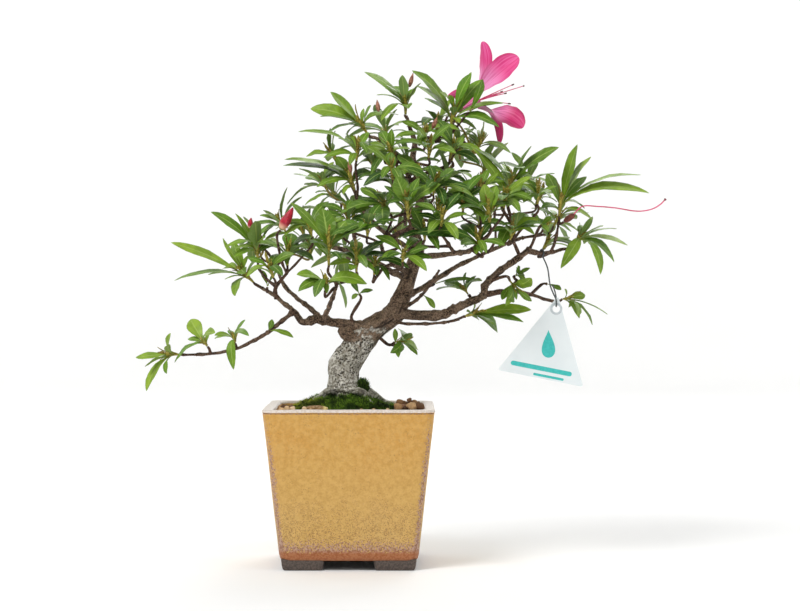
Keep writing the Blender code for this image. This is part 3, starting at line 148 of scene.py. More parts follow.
# Faces of a grid of rings: quads between neighbours, and a fan to a pole at each end
def ringFaces(rings, sides, closedLoop=False):
    i, k = np.meshgrid(np.arange(rings if closedLoop else rings - 1), np.arange(sides), indexing="ij")
    after, above = (k + 1) % sides, (i + 1) % rings
    quads = np.stack([i * sides + k, i * sides + after, above * sides + after, above * sides + k], -1).reshape(-1, 4)
    if closedLoop:
        return quads, np.zeros((0, 3), int)
    k, last = np.arange(sides), (rings - 1) * sides
    low = np.stack([np.full(sides, rings * sides), (k + 1) % sides, k], -1)
    high = np.stack([np.full(sides, rings * sides + 1), last + k, last + (k + 1) % sides], -1)
    return quads, np.concatenate([low, high])


# A closed tube with rounded ends: points, quads and triangles
def closedTube(route, radii, sides):
    rings = tubeRings(route, radii, sides)
    points = np.concatenate([rings.reshape(-1, 3), rings.mean(axis=1)[[0, -1]]])
    return (points, *ringFaces(len(rings), sides))


# Several shapes as one: their points in a row, and their faces counted on
def joinShapes(shapes):
    starts = np.cumsum([0] + [len(shape[0]) for shape in shapes[:-1]])
    return tuple(
        np.concatenate([shape[part] + (start if part else 0) for shape, start in zip(shapes, starts)])
        for part in range(3)
    )


# A mesh object from millimetre points; marks holds one number for each point or for each face
def makePiece(name, shape, material, uv=None, marks=None, crease=None, replaces=()):
    points, quads, triangles = shape
    mesh = bpy.data.meshes.new(name)
    mesh.vertices.add(len(points))
    mesh.vertices.foreach_set("co", (np.asarray(points, float) * mm + potAxis).astype(np.float32).ravel())
    corners = np.concatenate([quads.ravel(), triangles.ravel()]).astype(np.int32)
    sizes = np.concatenate([np.full(len(quads), 4), np.full(len(triangles), 3)]).astype(np.int32)
    mesh.loops.add(len(corners))
    mesh.loops.foreach_set("vertex_index", corners)
    mesh.polygons.add(len(sizes))
    mesh.polygons.foreach_set("loop_start", np.concatenate([[0], np.cumsum(sizes)[:-1]]).astype(np.int32))
    mesh.polygons.foreach_set("use_smooth", np.full(len(sizes), True))
    if uv is not None:
        layer = mesh.uv_layers.new(name="UVMap")
        layer.uv.foreach_set("vector", np.asarray(uv, float)[corners].astype(np.float32).ravel())
    for mark, values in (marks or {}).items():
        domain = "POINT" if len(values) == len(points) else "FACE"
        mesh.attributes.new(mark, "FLOAT", domain).data.foreach_set("value", np.asarray(values, np.float32))
    mesh.update(calc_edges=True)
    mesh.validate()
    if crease is not None:
        mesh.set_sharp_from_angle(angle=math.radians(crease))
    obj = bpy.data.objects.new(name, mesh)
    bpy.context.scene.collection.objects.link(obj)
    mesh.materials.append(material)
    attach(obj, "root")
    if replaces:
        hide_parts(*replaces)
    return obj


# A paint from the 0 to 255 numbers of a screen colour, made linear
def paint(red, green, blue):
    shares = np.array([red, green, blue]) / 255
    return (*np.where(shares <= 0.04045, shares / 12.92, ((shares + 0.055) / 1.055)**2.4), 1.0)


def dimmed(colour, share):
    return tuple(np.array(colour) * (share, share, share, 1.0))


def setInputs(tree, node, inputs):
    for key, value in inputs.items():
        if isinstance(value, bpy.types.NodeSocket):
            tree.links.new(value, node.inputs[key])
        else:
            node.inputs[key].default_value = value


# A node tree written as sums: each call adds what it needs and gives the result
class Shade:
    def __init__(self, tree):
        self.tree = tree

    def node(self, kind, inputs=None, **settings):
        node = self.tree.nodes.new("ShaderNode" + kind)
        for key, value in settings.items():
            setattr(node, key, value)
        setInputs(self.tree, node, inputs or {})
        return node

    def calc(self, operation, first, second=0.0, third=0.0):
        return self.node("Math", {0: first, 1: second, 2: third}, operation=operation).outputs[0]

    def times(self, first, second):
        return self.calc("MULTIPLY", first, second)

    # The value times a slope, plus a base
    def line(self, value, slope, base):
        return self.calc("MULTIPLY_ADD", value, slope, base)

    # From the first paint to the second by a mask, or by its product with a weight
    def mix(self, mask, first, second, weight=None):
        factor = mask if weight is None else self.times(mask, weight)
        return self.node("Mix", {0: factor, 6: first, 7: second}, data_type="RGBA").outputs[2]

    # A mask that rises softly from 0 to 1 between two values
    def rise(self, value, low, high):
        inputs = {"Value": value, "From Min": low, "From Max": high}
        return self.node("MapRange", inputs, interpolation_type="SMOOTHSTEP").outputs[0]

    def bump(self, height, strength, depth):
        return self.node("Bump", {"Height": height, "Strength": strength, "Distance": depth}).outputs[0]

    def place(self):
        return self.node("TexCoord").outputs["Object"]

    def height(self):
        return self.node("SeparateXYZ", {0: self.place()}).outputs[2]

    def mark(self, name):
        return self.node("Attribute", attribute_name=name).outputs["Fac"]

    # Along a strip's width, along its length, and how far off its middle line
    def stripPlace(self):
        split = self.node("SeparateXYZ", {0: self.node("UVMap", uv_map="UVMap").outputs[0]}).outputs
        return split[0], split[1], self.calc("ABSOLUTE", self.line(split[0], 2.0, -1.0))

    def mottle(self, scale, detail=3.0, low=0.35, high=0.65):
        inputs = {"Scale": scale, "Detail": detail, "Low": low, "High": high}
        return self.node("Group", inputs, node_tree=patchGroup).outputs["Mask"]

    def specks(self, scale, size, thinning):
        inputs = {"Scale": scale, "Size": size, "Thinning": thinning}
        return self.node("Group", inputs, node_tree=speckGroup).outputs["Mask"]

    def grain(self, scale, strength=0.3, depth=0.0004, detail=4.0, output="Normal"):
        inputs = {"Scale": scale, "Detail": detail, "Strength": strength, "Depth": depth}
        return self.node("Group", inputs, node_tree=grainGroup).outputs[output]


# A material's tree; finish sets its shader's sockets
class Material(Shade):
    sockets = {"colour": "Base Color", "roughness": "Roughness", "normal": "Normal", "metallic": "Metallic",
               "specular": "Specular IOR Level", "sheen": "Sheen Weight"}

    def __init__(self, name):
        self.material = bpy.data.materials.new(name)
        self.material.use_nodes = True
        super().__init__(self.material.node_tree)

    def finish(self, **values):
        shader = self.tree.nodes["Principled BSDF"]
        setInputs(self.tree, shader, {self.sockets[key]: value for key, value in values.items()})
        return self.material


# A small piece's material: two paints in cloudy patches, under a fine grain; both take the numbers of their groups
def twoTone(name, first, second, patches, grain, **values):
    look = Material(name)
    return look.finish(colour=look.mix(look.mottle(*patches), first, second), normal=look.grain(*grain), **values)


# A shared effect: a group whose named inputs have defaults, and whose outputs are what the effect makes of them
def makeGroup(name, effect, outputs, **inputs):
    group = bpy.data.node_groups.new(name, "ShaderNodeTree")
    for key, value in inputs.items():
        group.interface.new_socket(key, in_out="INPUT", socket_type="NodeSocketFloat").default_value = value
    for key, kind in outputs.items():
        group.interface.new_socket(key, in_out="OUTPUT", socket_type="NodeSocket" + kind)
    given, result = group.nodes.new("NodeGroupInput").outputs, group.nodes.new("NodeGroupOutput")
    setInputs(group, result, effect(Shade(group), given))
    return group


# Cloudy patches: a mask of noise over the object, between two limits
def patchEffect(look, given):
    noise = look.node("TexNoise", {"Vector": look.place(), "Scale": given["Scale"], "Detail": given["Detail"]})
    return {"Mask": look.rise(noise.outputs[0], given["Low"], given["High"])}


# Scattered specks: a mask of the cells' own middles, as large as Size and thinned by noise
def speckEffect(look, given):
    cells = look.node("TexVoronoi", {"Vector": look.place(), "Scale": given["Scale"]})
    size = look.times(given["Size"], look.node("SeparateColor", {0: cells.outputs["Color"]}).outputs[0])
    dot = look.calc("LESS_THAN", cells.outputs["Distance"], size)
    noise = look.node("TexNoise", {"Vector": look.place(), "Scale": look.times(given["Scale"], 0.13)})
    return {"Mask": look.times(dot, look.calc("GREATER_THAN", noise.outputs[0], given["Thinning"]))}


# A fine uneven surface: layered noise as a bump
def grainEffect(look, given):
    inputs = {"Vector": look.place(), "Scale": given["Scale"], "Detail": given["Detail"]}
    height = look.node("TexNoise", inputs).outputs[0]
    return {"Normal": look.bump(height, given["Strength"], given["Depth"]), "Height": height}


patchGroup = makeGroup("cloudyPatches", patchEffect, {"Mask": "Float"}, Scale=50.0, Detail=3.0, Low=0.4, High=0.6)
speckGroup = makeGroup("scatteredSpecks", speckEffect, {"Mask": "Float"}, Scale=900.0, Size=0.3, Thinning=0.5)
grainGroup = makeGroup("fineGrain", grainEffect, {"Normal": "Vector", "Height": "Float"}, Scale=400.0, Detail=4.0,
                       Strength=0.3, Depth=0.0004)


# A CAD node that stays as it is gets only this finish
def dressNode(node, material):
    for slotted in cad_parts[node].material_slots:
        slotted.material = material


# The light and the view

studio = {"floor": paint(250, 250, 249), "world": 0.5, "key": 19.0, "fill": 4.0, "rim": 7.0, "wall": 15.0}


def addLight(name, place, aim, size, power):
    lamp = bpy.data.lights.new(name, "AREA")
    lamp.shape, lamp.size, lamp.energy = "DISK", size, power
    obj = bpy.data.objects.new(name, lamp)
    obj.location = place
    obj.rotation_euler = (Vector(aim) - Vector(place)).to_track_quat("-Z", "Y").to_euler()
    bpy.context.scene.collection.objects.link(obj)


def makeStudio():
    scene = bpy.context.scene
    camera = bpy.data.cameras.new("camera")
    camera.lens, camera.sensor_width = view["lens"], 36.0
    camera.clip_start, camera.clip_end = 0.05, 50.0
    eye = bpy.data.objects.new("camera", camera)
    eye.location = (view["x"] * mm + potAxis[0], -view["away"] * mm + potAxis[1], view["z"] * mm + potAxis[2])
    eye.rotation_euler = (math.radians(90.0 - view["pitch"]), 0.0, 0.0)
    scene.collection.objects.link(eye)
    scene.camera = eye
    scene.view_settings.view_transform = "Standard"
    world = bpy.data.worlds.new("softWorld")
    scene.world = world
    world.use_nodes = True
    background = world.node_tree.nodes["Background"]
    background.inputs[0].default_value = (1.0, 1.0, 1.0, 1.0)
    background.inputs[1].default_value = studio["world"]
    middle = (0.0, 0.0, 0.18)
    addLight("keyLight", (-0.8, -1.0, 1.45), middle, 0.75, studio["key"])
    addLight("fillLight", (1.2, -0.9, 0.7), middle, 1.0, studio["fill"])
    addLight("backLight", (0.3, 1.2, 1.1), middle, 0.9, studio["rim"])
    # Two more lamps keep the wall behind as white as the floor
    for side in (-1, 1):
        addLight("wallLight", (1.6 * side, 1.3, 1.5), (0.3 * side, 3.0, 0.5), 1.0, studio["wall"])
    look = Material("paleFloor")
    pale = look.mix(look.mottle(2.0, 3.0, 0.2, 0.8), studio["floor"], paint(247, 247, 246))
    material = look.finish(colour=pale, roughness=0.9)
    # The floor runs back and curves up into a wall: a quarter circle between two flats
    reach, bend, steps = 3.0, 0.8, 17
    turn = np.linspace(0.0, math.pi / 2, steps)
    y = np.concatenate([[-reach], reach - bend + bend * np.sin(turn), [reach]])
    z = np.concatenate([[0.0], bend - bend * np.cos(turn), [reach]])
    points = np.stack([np.stack([np.full(len(y), x), y, z], -1) for x in (-reach, reach)], 1).reshape(-1, 3)
    i = np.arange(len(y) - 1)
    quads = np.stack([2 * i, 2 * i + 1, 2 * i + 3, 2 * i + 2], -1)
    mesh = bpy.data.meshes.new("floor")
    mesh.from_pydata(points.tolist(), [], quads.tolist())
    mesh.polygons.foreach_set("use_smooth", np.full(len(quads), True))
    floor = bpy.data.objects.new("floor", mesh)
    mesh.materials.append(material)
    scene.collection.objects.link(floor)


makeStudio()
print("studio ready")


# The pot

# Sides are whole widths, from wall to wall
pot = {"height": 99.0, "foot": 2.9, "topSide": 108.4, "baseSide": 88.0, "corner": 6.5, "lipHeight": 2.1,
       "lipSide": 109.4, "lipEdge": 1.1, "wall": 7.0, "floor": 8.0, "drain": 8.0, "footSide": 27.6, "footLeg": 11.0,
       "footEdge": 2.2, "wobble": 0.16, "bandFrom": 17.0, "bandFull": 2.5, "cornerWear": 0.74, "lipWear": 0.5}


# A ring of a square with round corners, for each row: quarter arcs joined by straight runs
def squareRings(sides, corners, heights, arcPoints=9, straightPoints=15):
    sides, corners, heights = (np.asarray(values, float)[:, None] for values in (sides, corners, heights))
    turn = np.linspace(0.0, math.pi / 2, arcPoints)
    rings = []
    for quarter in range(4):
        spin = quarter * math.pi / 2
        reach = sides / 2 - corners
        arcX, arcY = reach + corners * np.cos(turn), reach + corners * np.sin(turn)
        share = np.arange(1, straightPoints + 1) / (straightPoints + 1)
        x = np.concatenate([arcX, reach * (1 - 2 * share)], 1)
        y = np.concatenate([arcY, np.repeat(sides / 2, straightPoints, 1)], 1)
        rings.append(np.stack([x * math.cos(spin) - y * math.sin(spin), x * math.sin(spin) + y * math.cos(spin),
                               np.broadcast_to(heights, x.shape)], -1))
    return np.concatenate(rings, axis=1)


def makeGlaze():
    look = Material("speckledOchreGlaze")
    height = look.height()
    fine = look.mottle(820.0, 4.0, 0.38, 0.62)
    body = look.mix(look.rise(height, 0.02, 0.088), paint(198, 163, 98), paint(201, 150, 70))
    body = look.mix(look.mottle(30.0, 4.0, 0.3, 0.7), body, paint(198, 158, 78), 0.4)
    body = look.mix(fine, body, paint(178, 134, 64), 0.45)
    body = look.mix(look.mottle(300.0, 4.0), body, paint(220, 178, 106), 0.35)
    # Brown specks, closer together towards the foot
    lowness = look.rise(height, 0.06, 0.012)
    specks = look.specks(1500.0, 0.62, look.line(lowness, -0.42, 0.62))
    body = look.mix(specks, body, paint(132, 94, 56), look.line(lowness, 0.6, 0.2))
    dots = look.specks(950.0, 0.36, look.line(lowness, -0.1, 0.6))
    body = look.mix(dots, body, paint(112, 82, 46), 0.45)
    # The glaze breaks where it is thin: red-brown along the foot, mauve and brown up the corners and under the lip
    ragged = look.mottle(900.0, 5.0, 0.3, 0.7)
    thin = look.calc("ADD", look.mark("thinGlaze"), look.line(ragged, 0.9, -0.45))
    mauve = look.mix(fine, paint(140, 98, 72), paint(184, 150, 132))
    russet = look.mix(fine, paint(150, 86, 46), paint(168, 108, 68))
    tone = look.mix(look.rise(height, 0.0145, 0.0105), mauve, russet)
    body = look.mix(look.rise(thin, 0.4, 0.6), body, tone)
    creamy = look.rise(look.calc("ADD", look.mark("rimTop"), look.line(ragged, 0.3, -0.15)), 0.35, 0.6)
    body = look.mix(creamy, body, look.mix(ragged, paint(203, 189, 176), paint(224, 214, 205)))
    bare = look.rise(look.mark("unglazed"), 0.4, 0.6)
    body = look.mix(bare, body, look.mix(fine, paint(74, 65, 60), paint(98, 87, 80)))
    rough = look.line(bare, 0.4, look.line(fine, 0.12, 0.36))
    return look.finish(colour=body, roughness=rough, specular=0.4, normal=look.grain(300.0, 0.16, 0.0006, 3.0))


# Rows of a rounded edge: a quarter turn from one side and height to the next, starting level or upright
def edgeRows(count, start, end, corner, mark, level=True):
    turn = np.linspace(0.0, math.pi / 2, count)
    out, up = (np.sin(turn), 1.0 - np.cos(turn)) if level else (1.0 - np.cos(turn), np.sin(turn))
    sides, heights = start[0] + (end[0] - start[0]) * out, start[1] + (end[1] - start[1]) * up
    return [(side, corner, height, mark) for side, height in zip(sides, heights)]


def makePot():
    base, low, high, wall, drain = (pot[key] for key in ("baseSide", "foot", "height", "wall", "drain"))
    corner, lip, soft = pot["corner"], pot["lipSide"], pot["lipEdge"]
    wallTop, floor, lipCorner, inner = high - pot["lipHeight"], low + pot["floor"], corner + 1.5, lip - 2 * wall - 0.6

    def outerSide(z):
        return base + (pot["topSide"] - base) * (z - low) / (wallTop - low)

    # Rows of the section: under the floor, up the wall, round the lip, down inside, across the floor, down the drain.
    # Each has its side, its corners' radius, its height, and 0 for glaze outside, 0.2 inside and more for bare clay
    rows = [(2 * drain + 12, drain + 6, low, 1), (base - 12, 4, low, 1), (base - 3.0, 5, low, 1)]
    rows += edgeRows(6, (base - 4.4, low), (base, low + 2.6), corner, 0)
    rows += [(outerSide(z), corner, z, 0) for z in np.linspace(low + 4, wallTop - 1.0, 26)]
    # A shallow groove parts the wall from the lip
    rows += [(outerSide(wallTop) - deep, corner, wallTop - down, 0) for deep, down in ((0.2, 0.45), (0.9, 0.1))]
    rows += edgeRows(4, (lip - 1.3, wallTop), (lip, wallTop + 0.5), lipCorner, 0)
    rows += edgeRows(7, (lip, high - soft), (lip - 2 * soft, high), lipCorner, 0, level=False)
    rows += edgeRows(8, (inner + 4.4, high), (inner, high - 2.2), lipCorner - 1.5, 0.2)
    rows += [(outerSide(z) - 2 * wall, corner - 1, z, 0.6) for z in np.linspace(high - 8, floor + 1.0, 9)]
    rows += [(outerSide(floor) - 2 * wall - 2, corner - 2, floor, 1), (30, 10, floor, 1)]
    rows += [(2 * drain + out, drain + out / 2, z, 1)
             for out, z in ((1, floor), (0, floor - 1), (0, low + 1), (1, low))]
    rows = np.array(rows)
    rings = squareRings(rows[:, 0], rows[:, 1], rows[:, 2])
    x, y, z = np.moveaxis(rings, -1, 0)
    atCorner = soften(np.minimum(np.abs(x), np.abs(y)) / (rows[:, :1] / 2), 0.9, 0.95)
    outside = (rows[:, 3] == 0)[:, None]
    wear = pot["cornerWear"] * atCorner * soften(z, 110.0, 50.0)
    wear = wear + soften(z, low + pot["bandFrom"], low + pot["bandFull"])
    wear = outside * np.clip(wear + pot["lipWear"] * soften(np.abs(z - wallTop + 0.25), 0.7, 0.2), 0.0, 1.0)
    rimTop = soften(z, wallTop + 0.1, wallTop + 0.7)
    # Slight unevenness of a pressed clay wall
    wobble = layeredNoise(rings, 34.0, 2, 4) * pot["wobble"]
    rings[..., :2] += unit(rings[..., :2]) * (wobble * outside)[..., None]
    rings[..., 2] += 0.25 * layeredNoise(rings, 26.0, 2, 9) * rimTop
    body = (rings.reshape(-1, 3), *ringFaces(*rings.shape[:2], closedLoop=True))
    whole = joinShapes([body, *(footShape(x, y) for x in (-1, 1) for y in (-1, 1))])
    bare = np.repeat(rows[:, 3], rings.shape[1])
    marks = {key: np.concatenate([values.ravel(), np.full(len(whole[0]) - len(body[0]), atFeet)])
             for key, values, atFeet in (("thinGlaze", wear, 0.0), ("rimTop", rimTop, 0.0), ("unglazed", bare, 1.0))}
    makePiece("pot_glazed", whole, makeGlaze(), marks=marks, crease=50, replaces=["pot"])


# An L-shaped foot under a corner: its outline, drawn in a little at the ground, carried up through a few rows
def footShape(x, y):
    side, leg, low = pot["footSide"], pot["footLeg"], pot["foot"]
    rows = []
    for inset, z in ((2.4, ground), (1.6, ground + 0.25), (1.15, ground + 0.9), (0.6, ground + 3.0), (0.1, low + 1.0)):
        a, b, c = inset, side - inset, leg - inset
        corners = np.array([(a, a), (b, a), (b, c), (c, c), (c, b), (a, b)])
        outline = []
        for i, corner in enumerate(corners):
            before, after = corners[i - 1], corners[(i + 1) % 6]
            start, end = (corner + unit(other - corner) * pot["footEdge"] for other in (before, after))
            outline.append(arch(start, corner, end, np.linspace(0.0, 1.0, 5)[:, None]))
        outline = np.concatenate(outline)
        rows.append(np.column_stack([outline, np.full(len(outline), z)]))
    rings = np.array(rows)
    outer = pot["baseSide"] / 2 - 0.9
    rings[..., 0] = x * (outer - rings[..., 0])
    rings[..., 1] = y * (outer - rings[..., 1])
    if x * y < 0:
        rings = rings[:, ::-1]
    # The end faces fan from the L's inner corner, from where every corner can be seen
    seat = outer - leg + 1.5
    poles = np.array([(x * seat, y * seat, ground), (x * seat, y * seat, low + 1.0)])
    return (np.concatenate([rings.reshape(-1, 3), poles]), *ringFaces(*rings.shape[:2]))


makePot()
print("pot glazed")


# Soil, grains, stones and moss

soil = {"edge": 94.6, "rise": 8.0, "radius": 44.0, "trunkX": -3.5, "half": 47.0, "cells": 96, "low": 15.0,
        "taper": 0.78, "grains": 1500, "grainSize": (1.0, 3.4)}
stone = {"planes": 16, "cutAt": 0.84, "cutShare": 0.85, "swell": 1.03, "lumps": 0.07, "fullness": 1.02, "lift": 0.9}
moss = {"radius": 35.0, "thick": 5.0, "inner": 10.5, "rings": 26, "sectors": 160, "blades": 9500,
        "bladeLength": (1.0, 2.8), "bladeRadius": 0.24, "footShade": 0.3,
        "lump": (8.0, -2.0, 110.0), "lumpSize": (4.4, 4.6, 6.0), "lumpBlades": 700}
# Larger pebbles along the rim: x, y, z, size and tone
pebbles = [
    (39.7, -42, 100.6, 3.0, 0.72), (38.4, -38, 104.2, 2.1, 0.3), (32.4, -38, 103.0, 2.2, 0.4),
    (31.5, -42, 100.0, 2.6, 0.62), (44.5, -40, 100.4, 2.8, 0.25), (36.0, -41, 99.8, 2.4, 0.1),
    (35.5, -36, 101.0, 3.2, 0.35), (42.0, -35, 101.6, 3.0, 0.5), (25.0, -44, 98.4, 1.9, 0.85),
    (-38.5, -44, 98.6, 1.9, 0.85), (-35.2, -44.5, 98.8, 2.2, 0.95), (-42.5, -43, 98.2, 1.9, 0.8),
    (-28.2, -44.5, 98.9, 2.0, 0.9), (-41.0, -38, 99.6, 2.4, 0.2), (-36.5, -38, 99.8, 2.2, 0.35),
    (-24.0, -44.5, 98.2, 1.5, 0.75), (8.0, -45, 97.8, 1.4, 0.7), (16.0, -45, 97.9, 1.6, 0.8),
    (45.5, -25, 99.6, 2.6, 0.4), (-44.5, -20, 98.6, 2.2, 0.6),
]


# The soil rises from the rim to the trunk's foot: half a cosine wave
def mound(x, y):
    away = np.minimum(np.hypot(x - soil["trunkX"], y) / soil["radius"], 1.0)
    return soil["edge"] + soil["rise"] * (0.5 + 0.5 * np.cos(math.pi * away))


def makeSoilPaint():
    look = Material("graniteSoil")
    ramp = look.node("ValToRGB", {0: look.mark("tone")})
    stops = [(0.0, paint(52, 36, 24)), (0.3, paint(104, 70, 42)), (0.55, paint(150, 110, 68)),
             (0.8, paint(216, 178, 130)), (1.0, paint(236, 208, 172))]
    for place, colour in stops[1:-1]:
        ramp.color_ramp.elements.new(place)
    for element, (place, colour) in zip(ramp.color_ramp.elements, stops):
        element.position, element.color = place, colour
    colour = look.mix(look.mottle(500.0, 4.0, 0.3, 0.7), ramp.outputs[0], paint(90, 66, 46), 0.4)
    return look.finish(colour=colour, roughness=0.92, normal=look.grain(1400.0, 0.6))


# A ball of rings, to be pushed in and out by noise
def pebbleTemplate(rings=5, sides=8):
    tilt, turn = np.linspace(0.0, math.pi, rings + 2)[1:-1], turns(sides)
    ball = np.stack([np.outer(np.sin(tilt), np.cos(turn)), np.outer(np.sin(tilt), np.sin(turn)),
                     np.outer(-np.cos(tilt), np.ones(sides))], -1).reshape(-1, 3)
    return (np.concatenate([ball, [(0, 0, -1), (0, 0, 1)]]), *ringFaces(rings, sides))


# Random turns as matrices, from unit quaternions
def randomTurns(draw, count):
    w, x, y, z = np.moveaxis(unit(draw.normal(size=(count, 4))), -1, 0)
    return np.stack([
        np.stack([1 - 2 * (y * y + z * z), 2 * (x * y - w * z), 2 * (x * z + w * y)], -1),
        np.stack([2 * (x * y + w * z), 1 - 2 * (x * x + z * z), 2 * (y * z - w * x)], -1),
        np.stack([2 * (x * z - w * y), 2 * (y * z + w * x), 1 - 2 * (x * x + y * y)], -1)], -2)


# Many copies of one template, each sized, turned and placed: one array of points, with the faces counted on
def scatter(template, places, turns, sizes, roughness=0.22, seed=0):
    ball, quads, triangles = template
    lumps = 1.0 + roughness * latticeNoise(ball[None] * 1.3 + np.arange(len(places))[:, None, None] * 7.3, 1.0, seed)
    points = ball[None] * lumps[..., None] * sizes[:, None]
    points = np.einsum("nij,nkj->nki", turns, points) + places[:, None]
    return points.reshape(-1, 3), *(copyFaces(faces, len(places), len(ball)) for faces in (quads, triangles))


# The bed: a rough sheet on the mound, closed below by a smaller flat one
def soilBed():
    cells, across = soil["cells"], soil["cells"] + 1
    edge = np.linspace(-1.0, 1.0, across) * soil["half"]
    x, y = np.meshgrid(edge, edge, indexing="ij")
    z = mound(x, y) + 0.9 * layeredNoise(np.stack([x, y, np.zeros_like(x)], -1), 3.0, 3, 2) - 0.6
    # The sheet's border is drawn down inside the wall, so that it ends where the pot hides it
    z -= 2.0 * soften(np.maximum(np.abs(x), np.abs(y)) / soil["half"], 0.985, 1.0)
    top = np.stack([x, y, z], -1).reshape(-1, 3)
    i, k = np.meshgrid(np.arange(cells), np.arange(cells), indexing="ij")
    corner = i * across + k
    upper = np.stack([corner, corner + across, corner + across + 1, corner + 1], -1).reshape(-1, 4)
    below = np.column_stack([top[:, :2] * soil["taper"], np.full(len(top), soil["low"])])
    k = np.arange(cells)
    rim = np.concatenate([k, k * across + cells, cells * across + cells - k, (cells - k) * across])
    after = np.roll(rim, -1)
    walls = np.stack([rim, after, after + len(top), rim + len(top)], -1)
    quads = np.concatenate([upper, upper[:, ::-1] + len(top), walls])
    return np.concatenate([top, below]), quads, np.zeros((0, 3), int)


def makeSoil():
    draw = np.random.default_rng(5)
    # Loose grains lie where no moss grows, sunk by a third
    count, inside = soil["grains"], soil["half"] - 1.6
    spots = draw.uniform(-inside, inside, (count, 2))
    away = np.hypot(spots[:, 0] - soil["trunkX"], spots[:, 1])
    spots = spots[away > moss["radius"] * draw.uniform(0.78, 1.05, count)]
    low, high = soil["grainSize"]
    size = low + (high - low) * draw.random(len(spots))**2.2
    sizes = size[:, None] * draw.uniform(0.7, 1.15, (len(spots), 3)) / 2
    places = np.column_stack([spots, mound(*spots.T) + size * 0.12])
    bed, grains = soilBed(), scatter(pebbleTemplate(4, 7), places, randomTurns(draw, len(spots)), sizes)
    tones = [np.full(len(bed[0]), 0.15), np.repeat(draw.random(len(spots)), len(grains[0]) // len(spots))]
    heap = np.array(pebbles)
    spun = randomTurns(draw, len(heap))
    sizes = heap[:, 3:4] * draw.uniform(0.7, 1.15, (len(heap), 3))
    stones = scatter(pebbleTemplate(9, 14), heap[:, :3], spun, sizes, 0.5, 4)
    tones.append(np.repeat(heap[:, 4], len(stones[0]) // len(heap)))
    makePiece("soil_bed", joinShapes([bed, grains, stones]), makeSoilPaint(), marks={"tone": np.concatenate(tones)},
              crease=70, replaces=["soil"])


def makeStone(name, node, seed, colour, fleck, warm=0.0):
    look = Material(name + "Paint")
    patches = look.mottle(420.0, 5.0, 0.3, 0.7)
    body = look.mix(patches, colour, dimmed(colour, 0.5))
    body = look.mix(look.specks(1300.0, 0.5, 0.45), body, fleck, 0.5)
    end = look.times(look.rise(look.mark("endwise"), 0.45, 0.75), warm)
    body = look.mix(end, body, look.mix(patches, paint(232, 196, 96), paint(240, 220, 160)))
    material = look.finish(colour=body, roughness=0.85, normal=look.grain(800.0, 0.9, 0.0007, 5.0))
    low, high = (np.array(corner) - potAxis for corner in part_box(node))
    middle, half = (low + high) / 2 / mm, (high - low) / 2 / mm
    ball, quads, triangles = pebbleTemplate(22, 36)
    # Knocked faces: the ball is cut back by a few flat planes, then roughened
    draw = np.random.default_rng(seed)
    for direction in unit(draw.normal(size=(stone["planes"], 3))):
        ball = ball - np.maximum(ball @ direction - stone["cutAt"], 0.0)[:, None] * direction * stone["cutShare"]
    ball = ball * (stone["swell"] + stone["lumps"] * layeredNoise(ball + seed, 0.7, 4, seed))[:, None]
    points = middle + ball * half * stone["fullness"] + (0, 0, stone["lift"])
    makePiece(name, (points, quads, triangles), material, marks={"endwise": ball[:, 0]}, crease=60,
              replaces=[node])


def makeMossPaint():
    look = Material("cushionMoss")
    tone = look.mark("tone")
    green = look.mix(tone, paint(8, 16, 2), paint(138, 180, 52))
    green = look.mix(look.mottle(160.0, 4.0), green, paint(30, 66, 8), 0.3)
    green = look.mix(look.times(look.mark("yellow"), look.times(tone, 0.8)), green, paint(186, 172, 60))
    return look.finish(colour=green, roughness=0.9, specular=0.2, normal=look.grain(1600.0, 0.5, 0.0003, 3.0))


# The cushion at a turn and a share of the way out: its outline is a circle with waves in it
def mossPlace(turn, share):
    outer = moss["radius"] * (1 + 0.09 * np.cos(2 * turn) + 0.06 * np.cos(5 * turn + 1.0) + 0.05 * np.cos(13 * turn))
    reach = moss["inner"] + (outer - moss["inner"]) * share
    return soil["trunkX"] + reach * np.cos(turn), reach * np.sin(turn)


# Height of the cushion: the mound, a domed edge and tufts of noise
def mossTop(x, y, share):
    edge = 1.0 - share**3
    tufts = 1.3 * layeredNoise(np.stack([x, y, np.zeros_like(x)], -1), 5.5, 3, 8)
    return mound(x, y) + 0.5 + (moss["thick"] - 0.5) * edge + tufts * (0.3 + 0.7 * edge)


# Thin three-sided spikes from their feet to their tips, and their tones: darker at the foot, painted shade among the
# blades
def spikes(foot, tip, tones):
    ring = circles(np.array([1.0, 0, 0]), np.array([0, 1.0, 0]), turns(3)) * moss["bladeRadius"]
    points = np.concatenate([foot[:, None] + ring, tip[:, None]], axis=1).reshape(-1, 3)
    faces = np.array([(0, 1, 3), (1, 2, 3), (2, 0, 3), (2, 1, 0)])
    shades = tones[:, None] * np.array([*[moss["footShade"]] * 3, 1.0])
    return (points, np.zeros((0, 4), int), copyFaces(faces, len(foot), 4)), shades.ravel()


